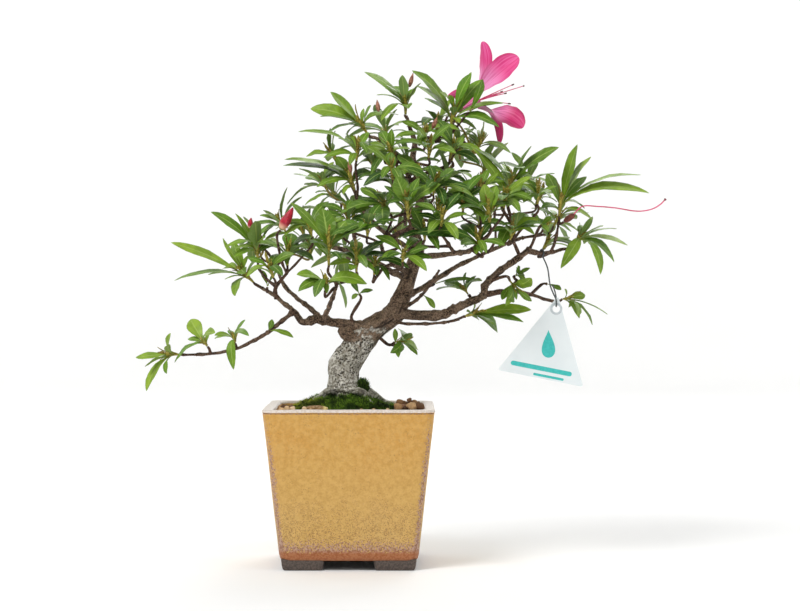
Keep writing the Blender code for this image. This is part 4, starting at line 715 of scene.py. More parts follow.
def makeMoss():
    draw = np.random.default_rng(11)
    rings, sectors, count = moss["rings"], moss["sectors"], moss["blades"]
    low, high = moss["bladeLength"]
    share = np.linspace(0.0, 1.0, rings)[:, None]
    x, y = mossPlace(turns(sectors), share)
    sheet = np.concatenate([np.stack([x, y, mound(x, y) - 0.5], -1)[::-1], np.stack([x, y, mossTop(x, y, share)], -1)])
    quads, triangles = ringFaces(2 * rings, sectors, closedLoop=True)
    cushion = (sheet.reshape(-1, 3), quads[:, ::-1], triangles)
    # Blades lean outwards
    angle, share = draw.uniform(0, math.tau, count), np.sqrt(draw.uniform(0.0, 1.04, count))
    x, y = mossPlace(angle, share)
    foot = np.stack([x, y, mossTop(x, y, np.minimum(share, 1.0)) - 0.3], -1)
    lean = np.stack([np.cos(angle) * share, np.sin(angle) * share, np.full(count, 1.1)], -1)
    lean = unit(lean + draw.normal(size=(count, 3)) * 0.45)
    tip = foot + lean * draw.uniform(low, high, count)[:, None]
    # Bright and dark tufts: noise over the place, more of it bright at the front left as painted light
    tuft = np.clip(0.5 + 1.3 * layeredNoise(foot, 5.0, 2, 17) - 0.009 * x, 0.04, 1.0)
    blades, shade = spikes(foot, tip, tuft * draw.uniform(0.45, 1.0, count))
    # A dark lump of moss grows up the right of the trunk's foot: spikes all over a squat ball
    middle, size = np.array(moss["lump"]), np.array(moss["lumpSize"])
    ball, quads, fans = pebbleTemplate(12, 18)
    lump = (middle + ball * size * (1 + 0.14 * layeredNoise(ball, 0.6, 2, 3))[:, None], quads, fans)
    outward = unit(draw.normal(size=(moss["lumpBlades"], 3)))
    foot = middle + outward * size * 0.95
    tip = foot + unit(outward + (0, 0, 0.5)) * draw.uniform(low, high, len(foot))[:, None]
    lumpBlades, dim = spikes(foot, tip, draw.uniform(0.1, 0.6, len(foot)))
    whole = joinShapes([cushion, blades, lump, lumpBlades])
    # Painted shade: the cushion and the lump under the blades are all but black, for the gaps between the blades
    tones = np.concatenate([np.full(len(cushion[0]), 0.08), shade, np.full(len(lump[0]), 0.02), dim])
    yellow = soften(-whole[0][:, 0] - 0.35 * whole[0][:, 1], 20.0, 36.0)
    makePiece("moss_cushion", whole, makeMossPaint(), marks={"tone": tones, "yellow": yellow},
              replaces=["moss"])


makeSoil()
makeStone("stone_long_rough", "stone_long", 3, paint(166, 130, 88), paint(214, 190, 150), 1.0)
makeStone("stone_grey_rough", "stone_grey", 5, paint(138, 98, 70), paint(178, 160, 140))
makeStone("stone_tan_rough", "stone_tan", 8, paint(168, 122, 84), paint(206, 172, 134))
makeMoss()
print("soil, stones and moss laid")


# The wood: trunk, surface roots, branches and twigs

# The trunk from its foot in the soil: x, y, z and radius
trunkKnots = [
    (-3.5, 0, 76, 10.0), (-3.5, 0, 90, 12.0), (-3.7, 0, 101, 13.2), (-4, 0, 107, 12.2), (-4.4, 0, 112, 10.5),
    (-4.3, 0, 118, 9.6), (-3.6, 0, 125, 9.7), (0.5, 0, 132, 9.3), (6, 0, 140, 9.0), (14, 0, 148, 8.4),
    (25, 0, 156, 7.2), (31, 0, 163, 6.2), (35, 0, 174, 5.2), (40, 0, 188, 4.4), (44, 0, 201, 4.0), (42, -1, 213, 3.4),
    (44, -3, 225, 2.7), (46, -4, 237, 2.3), (43, -4, 249, 2.0), (41, -3, 260, 1.7), (42, -3, 270, 1.5),
    (39, -4, 279, 1.2), (37, -5, 286, 1.0),
]

# The branches that can be followed: radius at the start and at the end, then the route
branchKnots = {
    "leftMain": (3.6, 1.0, [(12, 0, 147), (2, -2, 151), (-11, -4, 153), (-21, -6, 155), (-31, -8, 153),
                            (-36, -8, 159), (-40, -9, 163), (-49, -10, 170), (-57, -9, 175)]),
    "lowLeft": (1.5, 0.9, [(-37, -8, 160), (-46, -9, 153), (-54, -10, 146), (-63, -11, 141), (-74, -12, 136),
                           (-86, -12, 133), (-100, -11, 132)]),
    "leftDark": (1.8, 1.0, [(-19, -6, 155), (-25, 0, 161), (-34, 6, 168), (-43, 10, 177), (-48, 13, 190)]),
    "leftFront": (1.9, 1.0, [(-13, -4, 153), (-16, -16, 157), (-14, -30, 163), (-11, -42, 170), (-9, -50, 178)]),
    "rightMain": (3.4, 1.7, [(24, 0, 155), (34, -2, 158), (56, -8, 158), (68, -10, 161), (78, -12, 166),
                             (87, -14, 171), (89, -14, 178), (97, -15, 186), (107, -16, 193), (117, -13, 201)]),
    "rightTip": (1.5, 0.9, [(115, -14, 200), (126, -9, 198), (136, -3, 200), (143, 2, 201)]),
    "frontArm": (2.3, 1.2, [(42, -1, 206), (39, -12, 202), (46, -20, 197), (55, -26, 196), (68, -32, 198),
                            (78, -38, 200), (86, -43, 206)]),
    "lowWhip": (1.1, 0.8, [(27, 0, 154), (36, -7, 152), (49, -10, 152), (62, -12, 153), (71, -14, 155)]),
    "redTwig": (1.3, 0.8, [(32, -2, 161), (44, -12, 168), (52, -18, 178), (58, -22, 187)]),
    "topLeft": (1.7, 0.9, [(45, -3, 232), (38, -8, 247), (30, -12, 262), (22, -14, 271), (12, -15, 274)]),
    "leftHigh": (1.9, 1.0, [(42, 0, 197), (32, -6, 205), (20, -11, 213), (10, -14, 224), (4, -17, 234)]),
    "backHigh": (2.1, 1.0, [(44, 0, 206), (42, 14, 218), (38, 28, 232), (32, 38, 250), (26, 42, 266)]),
    "backLeft": (2.2, 1.0, [(37, 0, 180), (24, 16, 188), (8, 30, 196), (-12, 42, 202), (-30, 48, 206)]),
    "backRight": (2.2, 1.0, [(33, 0, 168), (48, 16, 176), (68, 30, 188), (92, 40, 200), (112, 44, 208)]),
    "frontLeft": (1.8, 0.9, [(38, 0, 184), (30, -14, 190), (22, -26, 198), (20, -36, 205)]),
}

# Each leafy shoot: its foot, the way it points and its length; its name is its CAD node's, without leaves_
shoots = {
    "top": ((36, -5, 288), (0, 0, 1), 11), "top_left_a": ((11, -15, 276), (-0.5, -0.2, 0.8), 12),
    "top_left_b": ((4, -25, 258), (0.1, -0.3, 1), 12), "top_left_c": ((3, -19, 239), (-0.3, -0.2, 0.9), 12),
    "top_mid": ((30, -24, 257), (-0.4, -0.5, 0.9), 14), "crown_front": ((51, -34, 260), (0.1, -0.4, 1), 10),
    "crown_back": ((57, 8, 276), (0, 0.3, 1), 10), "by_flower": ((65, -16, 278), (0.2, -0.2, 1), 14),
    "right_back": ((87, 12, 248), (0.1, 0.3, 1), 10), "right_high": ((103, -20, 237), (0.2, -0.1, 1), 12),
    "right_front": ((91, -50, 216), (-0.1, -0.3, 1), 14), "front_low": ((85, -54, 200), (-0.2, -0.5, 0.8), 10),
    "centre_front": ((38, -60, 220), (-0.1, -0.3, 1), 14), "centre_high": ((54, -46, 236), (0.2, -0.5, 0.9), 10),
    "centre_left": ((25, -34, 224), (-0.4, -0.3, 0.9), 10), "left_top": ((2, 12, 219), (0, 0.2, 1), 10),
    "left_front_a": ((-14, -60, 190), (0, -0.2, 1), 20), "left_front_b": ((4, -50, 186), (0, -0.4, 1), 13),
    "left_front_c": ((-16, -68, 174), (0, -0.5, 0.9), 10), "left_mid": ((-41, -22, 190), (0.1, -0.2, 1), 12),
    "left_high_a": ((-60, -24, 193), (-0.1, -0.3, 1), 12), "left_outer": ((-63, -7, 179), (-0.7, -0.1, 0.7), 12),
    "low_tip": ((-112, -11, 132), (-1, 0, 0.1), 8), "low_mid": ((-93, -15, 137), (-0.6, -0.2, 0.8), 7),
    "low_near": ((-75, -11, 139), (-0.2, -0.1, 1), 6), "right_top": ((122, -27, 230), (0, -0.2, 1), 11),
    "right_end": ((136, -10, 222), (0.1, -0.1, 1), 14), "right_low": ((146, 4, 203), (0.5, 0, 0.8), 10),
    "right_inner": ((107, -24, 211), (0.1, -0.3, 1), 8), "under_right": ((104, -24, 180), (0.3, -0.4, -0.4), 6),
    "behind_tag": ((138, 2, 168), (0.8, 0.1, 0.2), 7), "low_right": ((75, -15, 157), (0.9, -0.3, 0.4), 8),
    "mid_right": ((77, -4, 171), (-0.5, 0.2, 0.7), 7), "on_trunk": ((29, 0, 140), (0.8, 0, 0.2), 6),
    "back_a": ((24, 46, 272), (-0.2, 0.4, 1), 11), "back_b": ((66, 52, 258), (0.2, 0.4, 0.9), 11),
    "back_c": ((-8, 56, 232), (-0.4, 0.4, 0.8), 11), "back_d": ((100, 56, 232), (0.3, 0.4, 0.9), 11),
    "back_e": ((-42, 54, 212), (-0.5, 0.4, 0.8), 11), "back_f": ((36, 72, 220), (0, 0.8, 0.7), 11),
    "back_g": ((126, 48, 214), (0.6, 0.3, 0.7), 11), "back_h": ((-2, 66, 196), (-0.3, 0.8, 0.4), 11),
}

# Foot and tip of what else stands on a twig: the flower's tube, the old calyx and two buds
onTwigs = {"flower": ((68, 6, 290), (83, 6, 298)), "calyx": ((138, -13, 218), (144.5, -14, 222.8)),
           "budLarge": ((-43, -40, 212), (-35, -42, 226.5)), "budSmall": ((-65, -6, 214), (-64, -8, 221))}

wood = {"trunkSides": 110, "trunkRows": 420, "bark": 0.62, "branchSides": 20, "twigSides": 10, "collar": 0.45}
# Surface roots: the way each leaves the trunk's foot in degrees, its reach from the middle and its radius
roots = [(196, 25, 2.8), (150, 22, 2.4), (258, 24, 2.2), (318, 25, 2.2), (352, 36, 2.6), (35, 24, 2.4), (95, 24, 2.5)]
# Old pruning scars on the trunk: the turn in degrees, the height and the size
scars = [(182, 128, 4.0), (200, 121, 3.0), (20, 160, 3.0), (150, 166, 2.6), (240, 142, 3.4), (300, 170, 2.4)]
# A pale root that lies across the front of the trunk's foot, and a burl under the left fork, each with its radii
ledge = ([(-19, -4, 103.5), (-14.5, -8.5, 108), (-7, -12, 110.2), (1, -12.6, 109.8), (8, -10.5, 107.6), (14, -6, 104)],
         [1.4, 2.1, 2.3, 2.5, 2.2, 1.2])
burl = ([(-6.5, -3, 148.5), (-3.5, -5, 147), (0.5, -6.5, 144.5), (3, -6.5, 141)], [1.8, 4.3, 3.9, 1.4])


def nodeTree(name):
    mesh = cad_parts[name].data
    points = np.empty(len(mesh.vertices) * 3, np.float32)
    mesh.vertices.foreach_get("co", points)
    points = (points.reshape(-1, 3) - potAxis) / mm
    mesh.calc_loop_triangles()
    triangles = np.empty(len(mesh.loop_triangles) * 3, np.int32)
    mesh.loop_triangles.foreach_get("vertices", triangles)
    return solidTree(points, triangles.reshape(-1, 3).tolist())


# A solid to keep clear of: its box and its tree of faces
def solidTree(points, faces):
    return points.min(axis=0), points.max(axis=0), BVHTree.FromPolygons(points.tolist(), faces)


def meets(points, faces, others):
    low, high, tree = solidTree(points, faces)
    return any((low < item[1]).all() and (high > item[0]).all() and item[2].overlap(tree) for item in others)


# Knots of a coarse tube as one point array and its faces, for the clearance test
def coarseTube(route, radii, sides=4):
    points, quads, triangles = closedTube(route, radii, sides)
    return points, quads.tolist() + triangles.tolist()


def shootRoute(name):
    foot, way, length = shoots[name]
    foot, way = seen(*foot), unit(way)
    return foot + np.outer(0.35 + length * np.array([0.0, 0.35, 1.25]), way)


# The wood's centre lines: place, radius, way back to the trunk and direction of each spot
class Skeleton:
    def __init__(self):
        self.spots, self.radii, self.runs, self.ahead = (np.zeros((0, 3)), np.zeros(0), np.zeros(0), np.zeros((0, 3)))

    def add(self, points, radii, start):
        steps = np.linalg.norm(np.diff(points, axis=0), axis=1)
        last = len(points) - 1
        ahead = points[np.minimum(np.arange(last + 1) + 1, last)] - points[np.maximum(np.arange(last + 1) - 1, 0)]
        self.spots = np.concatenate([self.spots, points])
        self.radii = np.concatenate([self.radii, radii])
        self.runs = np.concatenate([self.runs, start + np.concatenate([[0], np.cumsum(steps)])])
        self.ahead = np.concatenate([self.ahead, ahead])

    # The shortest way, counting in part the way back along the wood and the climb from above
    def nearest(self, place, thinnest=0.85):
        away = self.spots - place
        cost = np.linalg.norm(away, axis=1) + 0.22 * self.runs + 18.0 * np.maximum(unit(away)[:, 2], 0.0)
        cost[self.radii < thinnest] = np.inf
        best = int(np.argmin(cost))
        return self.spots[best], self.radii[best], self.runs[best], self.ahead[best]


# A twig from the nearest fit place on the wood to the foot of what it carries: a Bezier curve with a random sway
def twigRoute(skeleton, foot, way, draw):
    start, radius, run, ahead = skeleton.nearest(foot)
    span = np.linalg.norm(foot - start)
    leave = unit(unit(ahead) * 0.5 + unit(foot - start))
    sway = np.array([draw.uniform(-1, 1) for _ in range(3)]) * span * 0.12
    steps = 3 if span < 20 else 4 if span < 40 else 5
    t = np.linspace(0.0, 1.0, steps)[:, None]
    first, second = start + leave * span * 0.35 + sway, foot - way * span * 0.3 + sway
    points = cubic(start, first, second, foot, t)
    points[-2] = foot - way * min(span * 0.3, 5.0)
    thick = min(radius * 0.85, 0.95 + span * 0.012)
    return points, np.linspace(thick, 0.8, steps), run


def growTwigs(skeleton, feet, others, seed=7):
    twigs = []
    for number, (foot, way) in enumerate(feet):
        draw = random.Random(number + seed)
        for _ in range(40):
            points, radii, run = twigRoute(skeleton, foot, way, draw)
            if not meets(*coarseTube(points[1:], radii[1:] + 0.5), others):
                break
        skeleton.add(points[1:], radii[1:], run + np.linalg.norm(points[1] - points[0]))
        twigs.append((points, radii))
    return twigs


# Where a tube's bark lies in its noise: a cylinder of its own radius, shortened so that ridges are drawn out along it
def barkSpots(radius, run, turn, shortened):
    return np.stack([radius[:, None] * np.cos(turn), radius[:, None] * np.sin(turn),
                     np.repeat(run[:, None] * shortened, len(turn), 1)], -1)


# A branch's fine tube and the painted shade of its furrows: bark as noise on the radius, a collar where it leaves,
# swellings along it
def barkTube(knots, radii, sides, seed, collar, spacing=0.7, rough=0.2):
    length = np.linalg.norm(np.diff(knots, axis=0), axis=1).sum()
    count = max(8, int(length / spacing))
    route = splinePoints(knots, count)
    radius = np.interp(np.linspace(0, 1, count), np.linspace(0, 1, len(radii)), radii)
    run = np.linspace(0.0, length, count)
    route = route + 0.35 * radius[:, None] * np.stack(
        [latticeNoise(np.column_stack([run, run * 0 + k, run * 0 + seed]), 9.0, seed + k) for k in range(3)], -1
    ) * soften(run, 0.0, 4.0)[:, None] * soften(run, length, length - 4.0)[:, None]
    swell = 1.0 + 0.3 * np.maximum(latticeNoise(np.column_stack([run, run * 0, run * 0]), 3.4, seed + 5), 0.0)
    radius = radius * swell * (1.0 + collar * np.exp(-run / (1.3 * radii[0])))
    ridges = layeredNoise(barkSpots(radius, run, turns(sides), 0.45), 1.3, 2, seed)
    furrowShade = np.concatenate([soften(-ridges, 0.1, 0.8).ravel() * 0.8, [0, 0]])
    return closedTube(route, radius[:, None] * (1.0 + rough * ridges), sides), furrowShade


def makeBark():
    look = Material("azaleaBark")
    coarse, fine = look.mottle(150.0, 5.0, 0.38, 0.6), look.mottle(620.0, 5.0, 0.4, 0.62)
    # The old bark low on the trunk is pale grey, with dark and green mottles; higher up it is dark brown
    pale = look.mix(fine, paint(224, 220, 210), paint(124, 118, 106))
    pale = look.mix(coarse, pale, paint(122, 116, 98), 0.5)
    specks = look.specks(760.0, 0.6, 0.47)
    pale = look.mix(specks, pale, paint(40, 34, 26), 0.9)
    dark = look.mix(look.mottle(1100.0, 4.0, 0.42, 0.58), paint(128, 104, 84), paint(48, 37, 30))
    dark = look.mix(coarse, dark, paint(166, 142, 120), 0.35)
    dark = look.mix(specks, dark, paint(36, 28, 22), 0.5)
    ragged = look.line(coarse, 0.014, look.height())
    body = look.mix(look.rise(ragged, 0.148, 0.162), pale, dark)
    body = look.mix(look.rise(look.mark("paleness"), 0.0, 1.0), dark, body)
    body = look.mix(look.times(look.rise(ragged, 0.131, 0.113), coarse), body, paint(52, 62, 28), 0.8)
    young = look.mix(fine, paint(98, 72, 58), paint(52, 36, 30))
    young = look.mix(look.specks(1100.0, 0.5, 0.5), young, paint(168, 146, 128), 0.5)
    body = look.mix(look.mark("twig"), body, young)
    # Painted shade: the furrows between the bark's ridges are darkened nearly to black
    body = look.mix(look.mark("furrowShade"), body, paint(30, 23, 18), 0.85)
    return look.finish(colour=body, roughness=0.85, specular=0.25, normal=look.grain(900.0, 0.85, 0.0008, 5.0))


# The trunk's bark: ridges drawn out along it, deeper where it is dark, and lobes where the roots spread
def trunkShape():
    rows, turn = wood["trunkRows"], turns(wood["trunkSides"])
    spots = splinePoints(trunkKnots, rows)
    route, radius, low = spots[:, :3], spots[:, 3], spots[:, 2:3]
    run = np.concatenate([[0], np.cumsum(np.linalg.norm(np.diff(route, axis=0), axis=1))])
    share = np.where(low < 110, 0.2, np.maximum(0.0, 0.05 - (low - 110) * 0.0008))
    share = share * soften(low, 113, 104) + np.minimum(share, 0.05) * (1 - soften(low, 113, 104))
    lobes = 1.0 + share * (0.6 * np.cos(5 * turn + 0.9) + 0.4 * np.cos(3 * turn - 0.5))
    around = barkSpots(radius, run, turn, 0.3)
    ridges = layeredNoise(around, 2.6, 3, 21)
    deep = wood["bark"] * (0.5 + 1.0 * soften(low, 138, 154)) * np.minimum(radius[:, None] / 6.0, 1.0)
    lumps = 0.6 * layeredNoise(around, 9.0, 2, 33) * np.minimum(radius[:, None] / 8.0, 1.0)
    # A scar is a raised ring round a hollow
    for angle, z, size in scars:
        off = (np.mod(turn - math.radians(angle) + math.pi, math.tau) - math.pi) * radius[:, None]
        away = np.hypot(off, low - z) / size
        lumps = lumps + 0.9 * np.exp(-((away - 0.8) / 0.35)**2) - 0.5 * np.exp(-(away / 0.5)**2)
    ahead = unit(np.gradient(route, axis=0))
    side = unit(np.array([1.0, 0, 0]) - ahead * ahead[:, :1])
    grid = radius[:, None] * lobes + deep * ridges + lumps
    rings = route[:, None] + circles(side, np.cross(ahead, side), turn) * grid[..., None]
    points = np.concatenate([rings.reshape(-1, 3), route[[0, -1]]])
    # The furrows' painted shade, stronger higher up where the bark is dark
    furrowShade = soften(-ridges, 0.15, 0.75) * (0.35 + 0.65 * soften(low, 135, 155))
    return (points, *ringFaces(rows, len(turn))), np.concatenate([furrowShade.ravel(), [0, 0]])


# A surface root: it leaves the trunk's foot, follows the moss outward and dives into the soil
def rootShape(angle, reach, radius, seed):
    way = np.array([math.cos(math.radians(angle)), math.sin(math.radians(angle))])
    spots = []
    for share, lift in ((0.12, 9.0), (0.4, 5.2), (0.62, 3.2), (0.85, 1.9), (1.0, 0.3), (1.12, -3.5)):
        x, y = np.array([soil["trunkX"], 0.0]) + way * reach * share
        spots.append((x, y, mound(x, y) + lift))
    spots = np.array(spots)
    radii = radius * np.array([1.6, 1.5, 1.2, 0.95, 0.7, 0.4])
    return barkTube(spots, radii, 22, seed, 0.0, 0.6, 0.16)


def makeWood():
    skeleton = Skeleton()
    upper = np.array([knot[:3] for knot in trunkKnots if knot[2] > 140], float)
    skeleton.add(splinePoints(upper, 40), np.maximum(1.0, 8.0 - 0.17 * np.arange(40)), 0.0)
    shapes, furrowShades, twiggy = [], [], []

    def addTube(tube, youth):
        shapes.append(tube[0])
        furrowShades.append(tube[1])
        twiggy.append(youth)

    for number, (thick, thin, knots) in enumerate(branchKnots.values()):
        knots = splinePoints([seen(*knot) for knot in knots], max(5, len(knots)))
        start = skeleton.runs[np.argmin(np.linalg.norm(skeleton.spots - knots[0], axis=1))]
        dense = splinePoints(knots, 4 * len(knots))
        skeleton.add(dense[3:], np.linspace(thick, thin, len(dense))[3:], start)
        radii = thick + (thin - thick) * np.linspace(0, 1, len(knots))**0.8
        addTube(barkTube(knots, radii, wood["branchSides"], 40 + number, wood["collar"]), 0.0 if thick > 1.6 else 0.5)
    feet = [(seen(*foot), unit(way)) for foot, way, _ in shoots.values()]
    feet += [(np.array(near, float), unit(np.subtract(far, near))) for near, far in onTwigs.values()]
    feet.sort(key=lambda item: np.linalg.norm(item[0] - (40, 0, 200)))
    for number, (knots, radii) in enumerate(growTwigs(skeleton, feet, standing)):
        tube = barkTube(knots, radii, wood["twigSides"], 90 + number, wood["collar"], 0.8, 0.22)
        addTube(tube, 0.9 if radii[0] < 1.2 else 0.7)
    addTube(barkTube(*burl, 26, 66, 0.0, 0.5, 0.3), 0.0)
    trunk, furrowShade = trunkShape()
    low = [rootShape(*root, 70 + number) for number, root in enumerate(roots)]
    low.append(barkTube(*ledge, 24, 68, 0.0, 0.6, 0.18))
    whole = joinShapes([trunk, *(tube[0] for tube in low), *shapes])
    lowCount = sum(len(tube[0][0]) for tube in low)
    twig = np.concatenate([np.zeros(len(furrowShade) + lowCount)]
                          + [np.full(len(shape[0]), value) for shape, value in zip(shapes, twiggy)])
    furrowShade = np.concatenate([furrowShade, *(tube[1] for tube in low), *furrowShades])
    pale = np.where(np.arange(len(whole[0])) < len(trunk[0]) + lowCount, 1.0, 0.0)
    makePiece("wood_bark", whole, bark, marks={"furrowShade": furrowShade, "twig": twig, "paleness": pale},
              replaces=["wood"])
    return skeleton


bark = makeBark()
fixedNodes = ["pot", "soil", "moss", "stone_long", "stone_grey", "stone_tan", "corolla", "stamens", "flower_stalk",
              "old_calyx", "old_style", "bud_large", "bud_small", "tag", "tag_wire"]
standing = [nodeTree(name) for name in fixedNodes]
standing += [solidTree(*coarseTube(shootRoute(name), [1.25, 1.85, 0.2], 5)) for name in shoots]
skeleton = makeWood()
print("wood grown")


# The leaves

leaf = {"columns": 5, "thick": 0.26, "rib": 0.3, "fold": 0.24, "perShoot": 10, "reach": (13.0, 23.0), "width": 0.32,
        "fullness": 1.12, "bracts": 9, "sideLength": 8.0, "faceOut": (0.0, -0.75, 0.66)}
leafStations = np.array([0.0, 0.07, 0.17, 0.29, 0.42, 0.55, 0.68, 0.8, 0.9, 0.965])

# Further shoots of a spray, each on a stem of its own: where the stem ends and the way it points
sideShoots = {
    "right_back": [((72, 22, 262), (0, 0.4, 1)), ((80, 28, 234), (0.1, 0.6, 0.8))],
    "right_high": [((114, 6, 240), (0.3, 0.3, 1))], "by_flower": [((82, -8, 264), (0.4, 0, 1))],
    "left_top": [((-15, 9, 239), (-0.5, 0.1, 0.9))], "centre_left": [((28, -12, 238), (0, 0.1, 1))],
    "centre_high": [((62, -22, 240), (0.1, 0.2, 1))], "left_outer": [((-58, 14, 202), (-0.3, 0.4, 0.9))],
    "left_mid": [((-26, -2, 196), (0.1, 0.3, 0.9))], "back_f": [((58, 56, 210), (0.4, 0.4, 0.8))],
    "back_d": [((86, 40, 214), (0, 0.3, 1))],
}
# Leaves noted one by one, in the picture's plane: the foot of their stem as x, depth and z, then each tip and width
looseLeaves = [
    ((55, -14, 178), [(81, 181, 4.5)]), ((47, -12, 171), [(55, 162, 4.5)]),
    ((-54, -14, 176), [(-48, 186, 4), (-58, 187, 4)]), ((6, -18, 171), [(15, 174, 4), (0, 181, 4), (1, 168, 3.5)]),
    ((-54, -10, 147), [(-37, 143, 4.5), (-51, 155, 4)]),
    ((124, -18, 216), [(131, 222, 4), (118, 224, 4), (129, 212, 4)]),
    ((40, -24, 200), [(45, 191, 4), (32, 195, 4), (49, 207, 4)]), ((77, -22, 268), [(101.5, 238, 8.5)]),
    ((41.5, -44, 214), [(84, 203, 6)]), ((106.7, -18, 178.6), [(98.9, 167.6, 5.5)]),
    ((128.2, -6, 178), [(137.4, 174, 4.5)]),
    ((107.4, -18, 183.2), [(117.2, 188.4, 3.5), (114, 180.6, 3.5), (109.3, 190, 3.5)]),
    ((77.2, -20, 289.9), [(86.2, 311.3, 8), (99.5, 295.5, 3)]), ((68, -18, 290), [(79, 315, 8.5), (64, 301, 6)]),
    ((29, -6, 139), [(31.4, 130, 4.2), (29, 149, 3.5)]),
]
# Scaly brown buds at a few tips: where each begins and ends, in the picture's plane
scaleBuds = [((38.5, -7, 306), (41, -8, 315.5)), ((18.5, -20, 290), (17.4, -21, 298)),
             ((0.5, -26, 250.5), (-1, -27, 259)),
             ((53.5, -24, 279), (56.5, -25, 286.5)), ((90, -46, 226), (92, -47, 232))]


# Half-width of a blade to its greatest: a slim stalk, then a sine that is widest past the middle
def leafSpread(t):
    blade = np.sin(math.pi * np.clip((t - 0.05) / 0.95, 0.0, 1.0)**1.45)**0.8
    return np.maximum(blade, 0.13 * (1.0 - soften(t, 0.08, 0.3)))


# A blade turns part of the way, about its own length, to show its face forward and up
def turnToLight(row, share):
    normal = np.cross(unit(row["tip"] - row["root"]), row["across"])
    wanted = np.array(leaf["faceOut"])
    best = math.atan2(-(wanted @ row["across"]), wanted @ normal)
    off = (best - row["roll"] + math.pi) % math.tau - math.pi
    row["roll"] += share * float(np.clip(off, -1.3, 1.3))


# The closed strip of a blade or a petal: where each column lies across it, and which columns are below
def stripRing(columns):
    u = np.linspace(1.0, -1.0, columns)
    return np.concatenate([u, u[-2:0:-1]]), np.concatenate([np.zeros(columns), np.ones(columns - 2)])


# The side and the top of a strip that is rolled about its own length
def rolledAxes(tangent, across, roll):
    normal = np.cross(tangent, np.broadcast_to(across, tangent.shape))
    return across * np.cos(roll) + normal * np.sin(roll), normal * np.cos(roll) - across * np.sin(roll)


def stripUv(ring, t):
    uv = np.stack(np.broadcast_arrays((ring + 1) / 2, t), -1).reshape(-1, 2)
    return np.concatenate([uv, [[0.5, 0.0], [0.5, 1.0]]])


# Many blades at once. Each arches from root to tip; its section is a folded strip, closed below by a thinner one
# with the rib; leaves is a dictionary of one array for each measure
def bladeShapes(leaves, stations=leafStations, columns=leaf["columns"], start=0.0):
    t = (start + (1.0 - start) * stations)[None, :, None]
    root, bend, tip, across = (leaves[key][:, None] for key in ("root", "bend", "tip", "across"))
    roll, twist, wave, phase, fold = (
        leaves[key][:, None, None] for key in ("roll", "twist", "wave", "phase", "fold"))
    here = arch(root, bend, tip, t)
    side, top = rolledAxes(archWay(root, bend, tip, t), across, roll + twist * (t - 0.5))
    ring, under = stripRing(columns)
    half = leaves["width"][:, None] / 2 * leafSpread(t[..., 0])
    wave = wave * np.sin(math.tau * (2.2 * t + phase)) * ring**2
    height = half[..., None] * (fold * np.abs(ring) - 0.16 * ring**4 + 0.12 * wave)
    middle = np.exp(-(ring / 0.2)**2)
    height = height - middle * 0.08 * (1 - under) - under * (leaf["thick"] + leaf["rib"] * middle * (1 - 0.6 * t))
    points = here[:, :, None] + side[:, :, None] * (half[..., None] * ring)[..., None]
    points = points + top[:, :, None] * height[..., None]
    count, rows, sides = points.shape[:3]
    grid = np.concatenate([points.reshape(count, -1, 3), np.stack([here[:, 0], leaves["tip"]], 1)], 1)
    faces = (copyFaces(part, count, grid.shape[1]) for part in ringFaces(rows, sides))
    low = np.arange(sides) >= columns - 1
    below = np.concatenate([np.tile(low, (rows - 1) * count), np.tile(low, 2 * count)]).astype(float)
    return (grid.reshape(-1, 3), *faces), np.tile(stripUv(ring, t[0]), (count, 1)), below


# One leaf's measures from its root, tip and shoot: it bends over halfway between the shoot's way and its own
def leafRow(draw, way, root, tip, width, roll, ageAndShade, bract=0.0):
    outward = unit(tip - root)
    length = np.linalg.norm(tip - root)
    across = np.cross(way, outward)
    if np.linalg.norm(across) < 0.1:
        across = np.cross(way, np.eye(3)[np.argmin(np.abs(way))])
    return {"root": root, "bend": root + unit(way * 0.7 + outward * 0.7) * length * 0.5, "tip": tip,
            "across": unit(across), "width": width, "roll": roll, "twist": draw.uniform(-0.35, 0.35),
            "fold": leaf["fold"] * draw.uniform(0.5, 1.5), "wave": draw.uniform(0.2, 1.0), "phase": draw.random(),
            "tone": draw.random(), "ageAndShade": ageAndShade, "bract": bract}


def stack(rows):
    return {key: np.array([row[key] for row in rows], float) for key in rows[0]}


# How old a leaf looks, with painted shade: young and pale at the crown's outside, dark within, partly for age and
# partly for the shade inside the crown
def ageAndShadeAt(place, draw):
    out = np.hypot((place[0] - 38) / 125, (place[2] - 215) / 105)
    return float(np.clip(0.95 - out + draw.uniform(-0.38, 0.38), 0.0, 1.0))


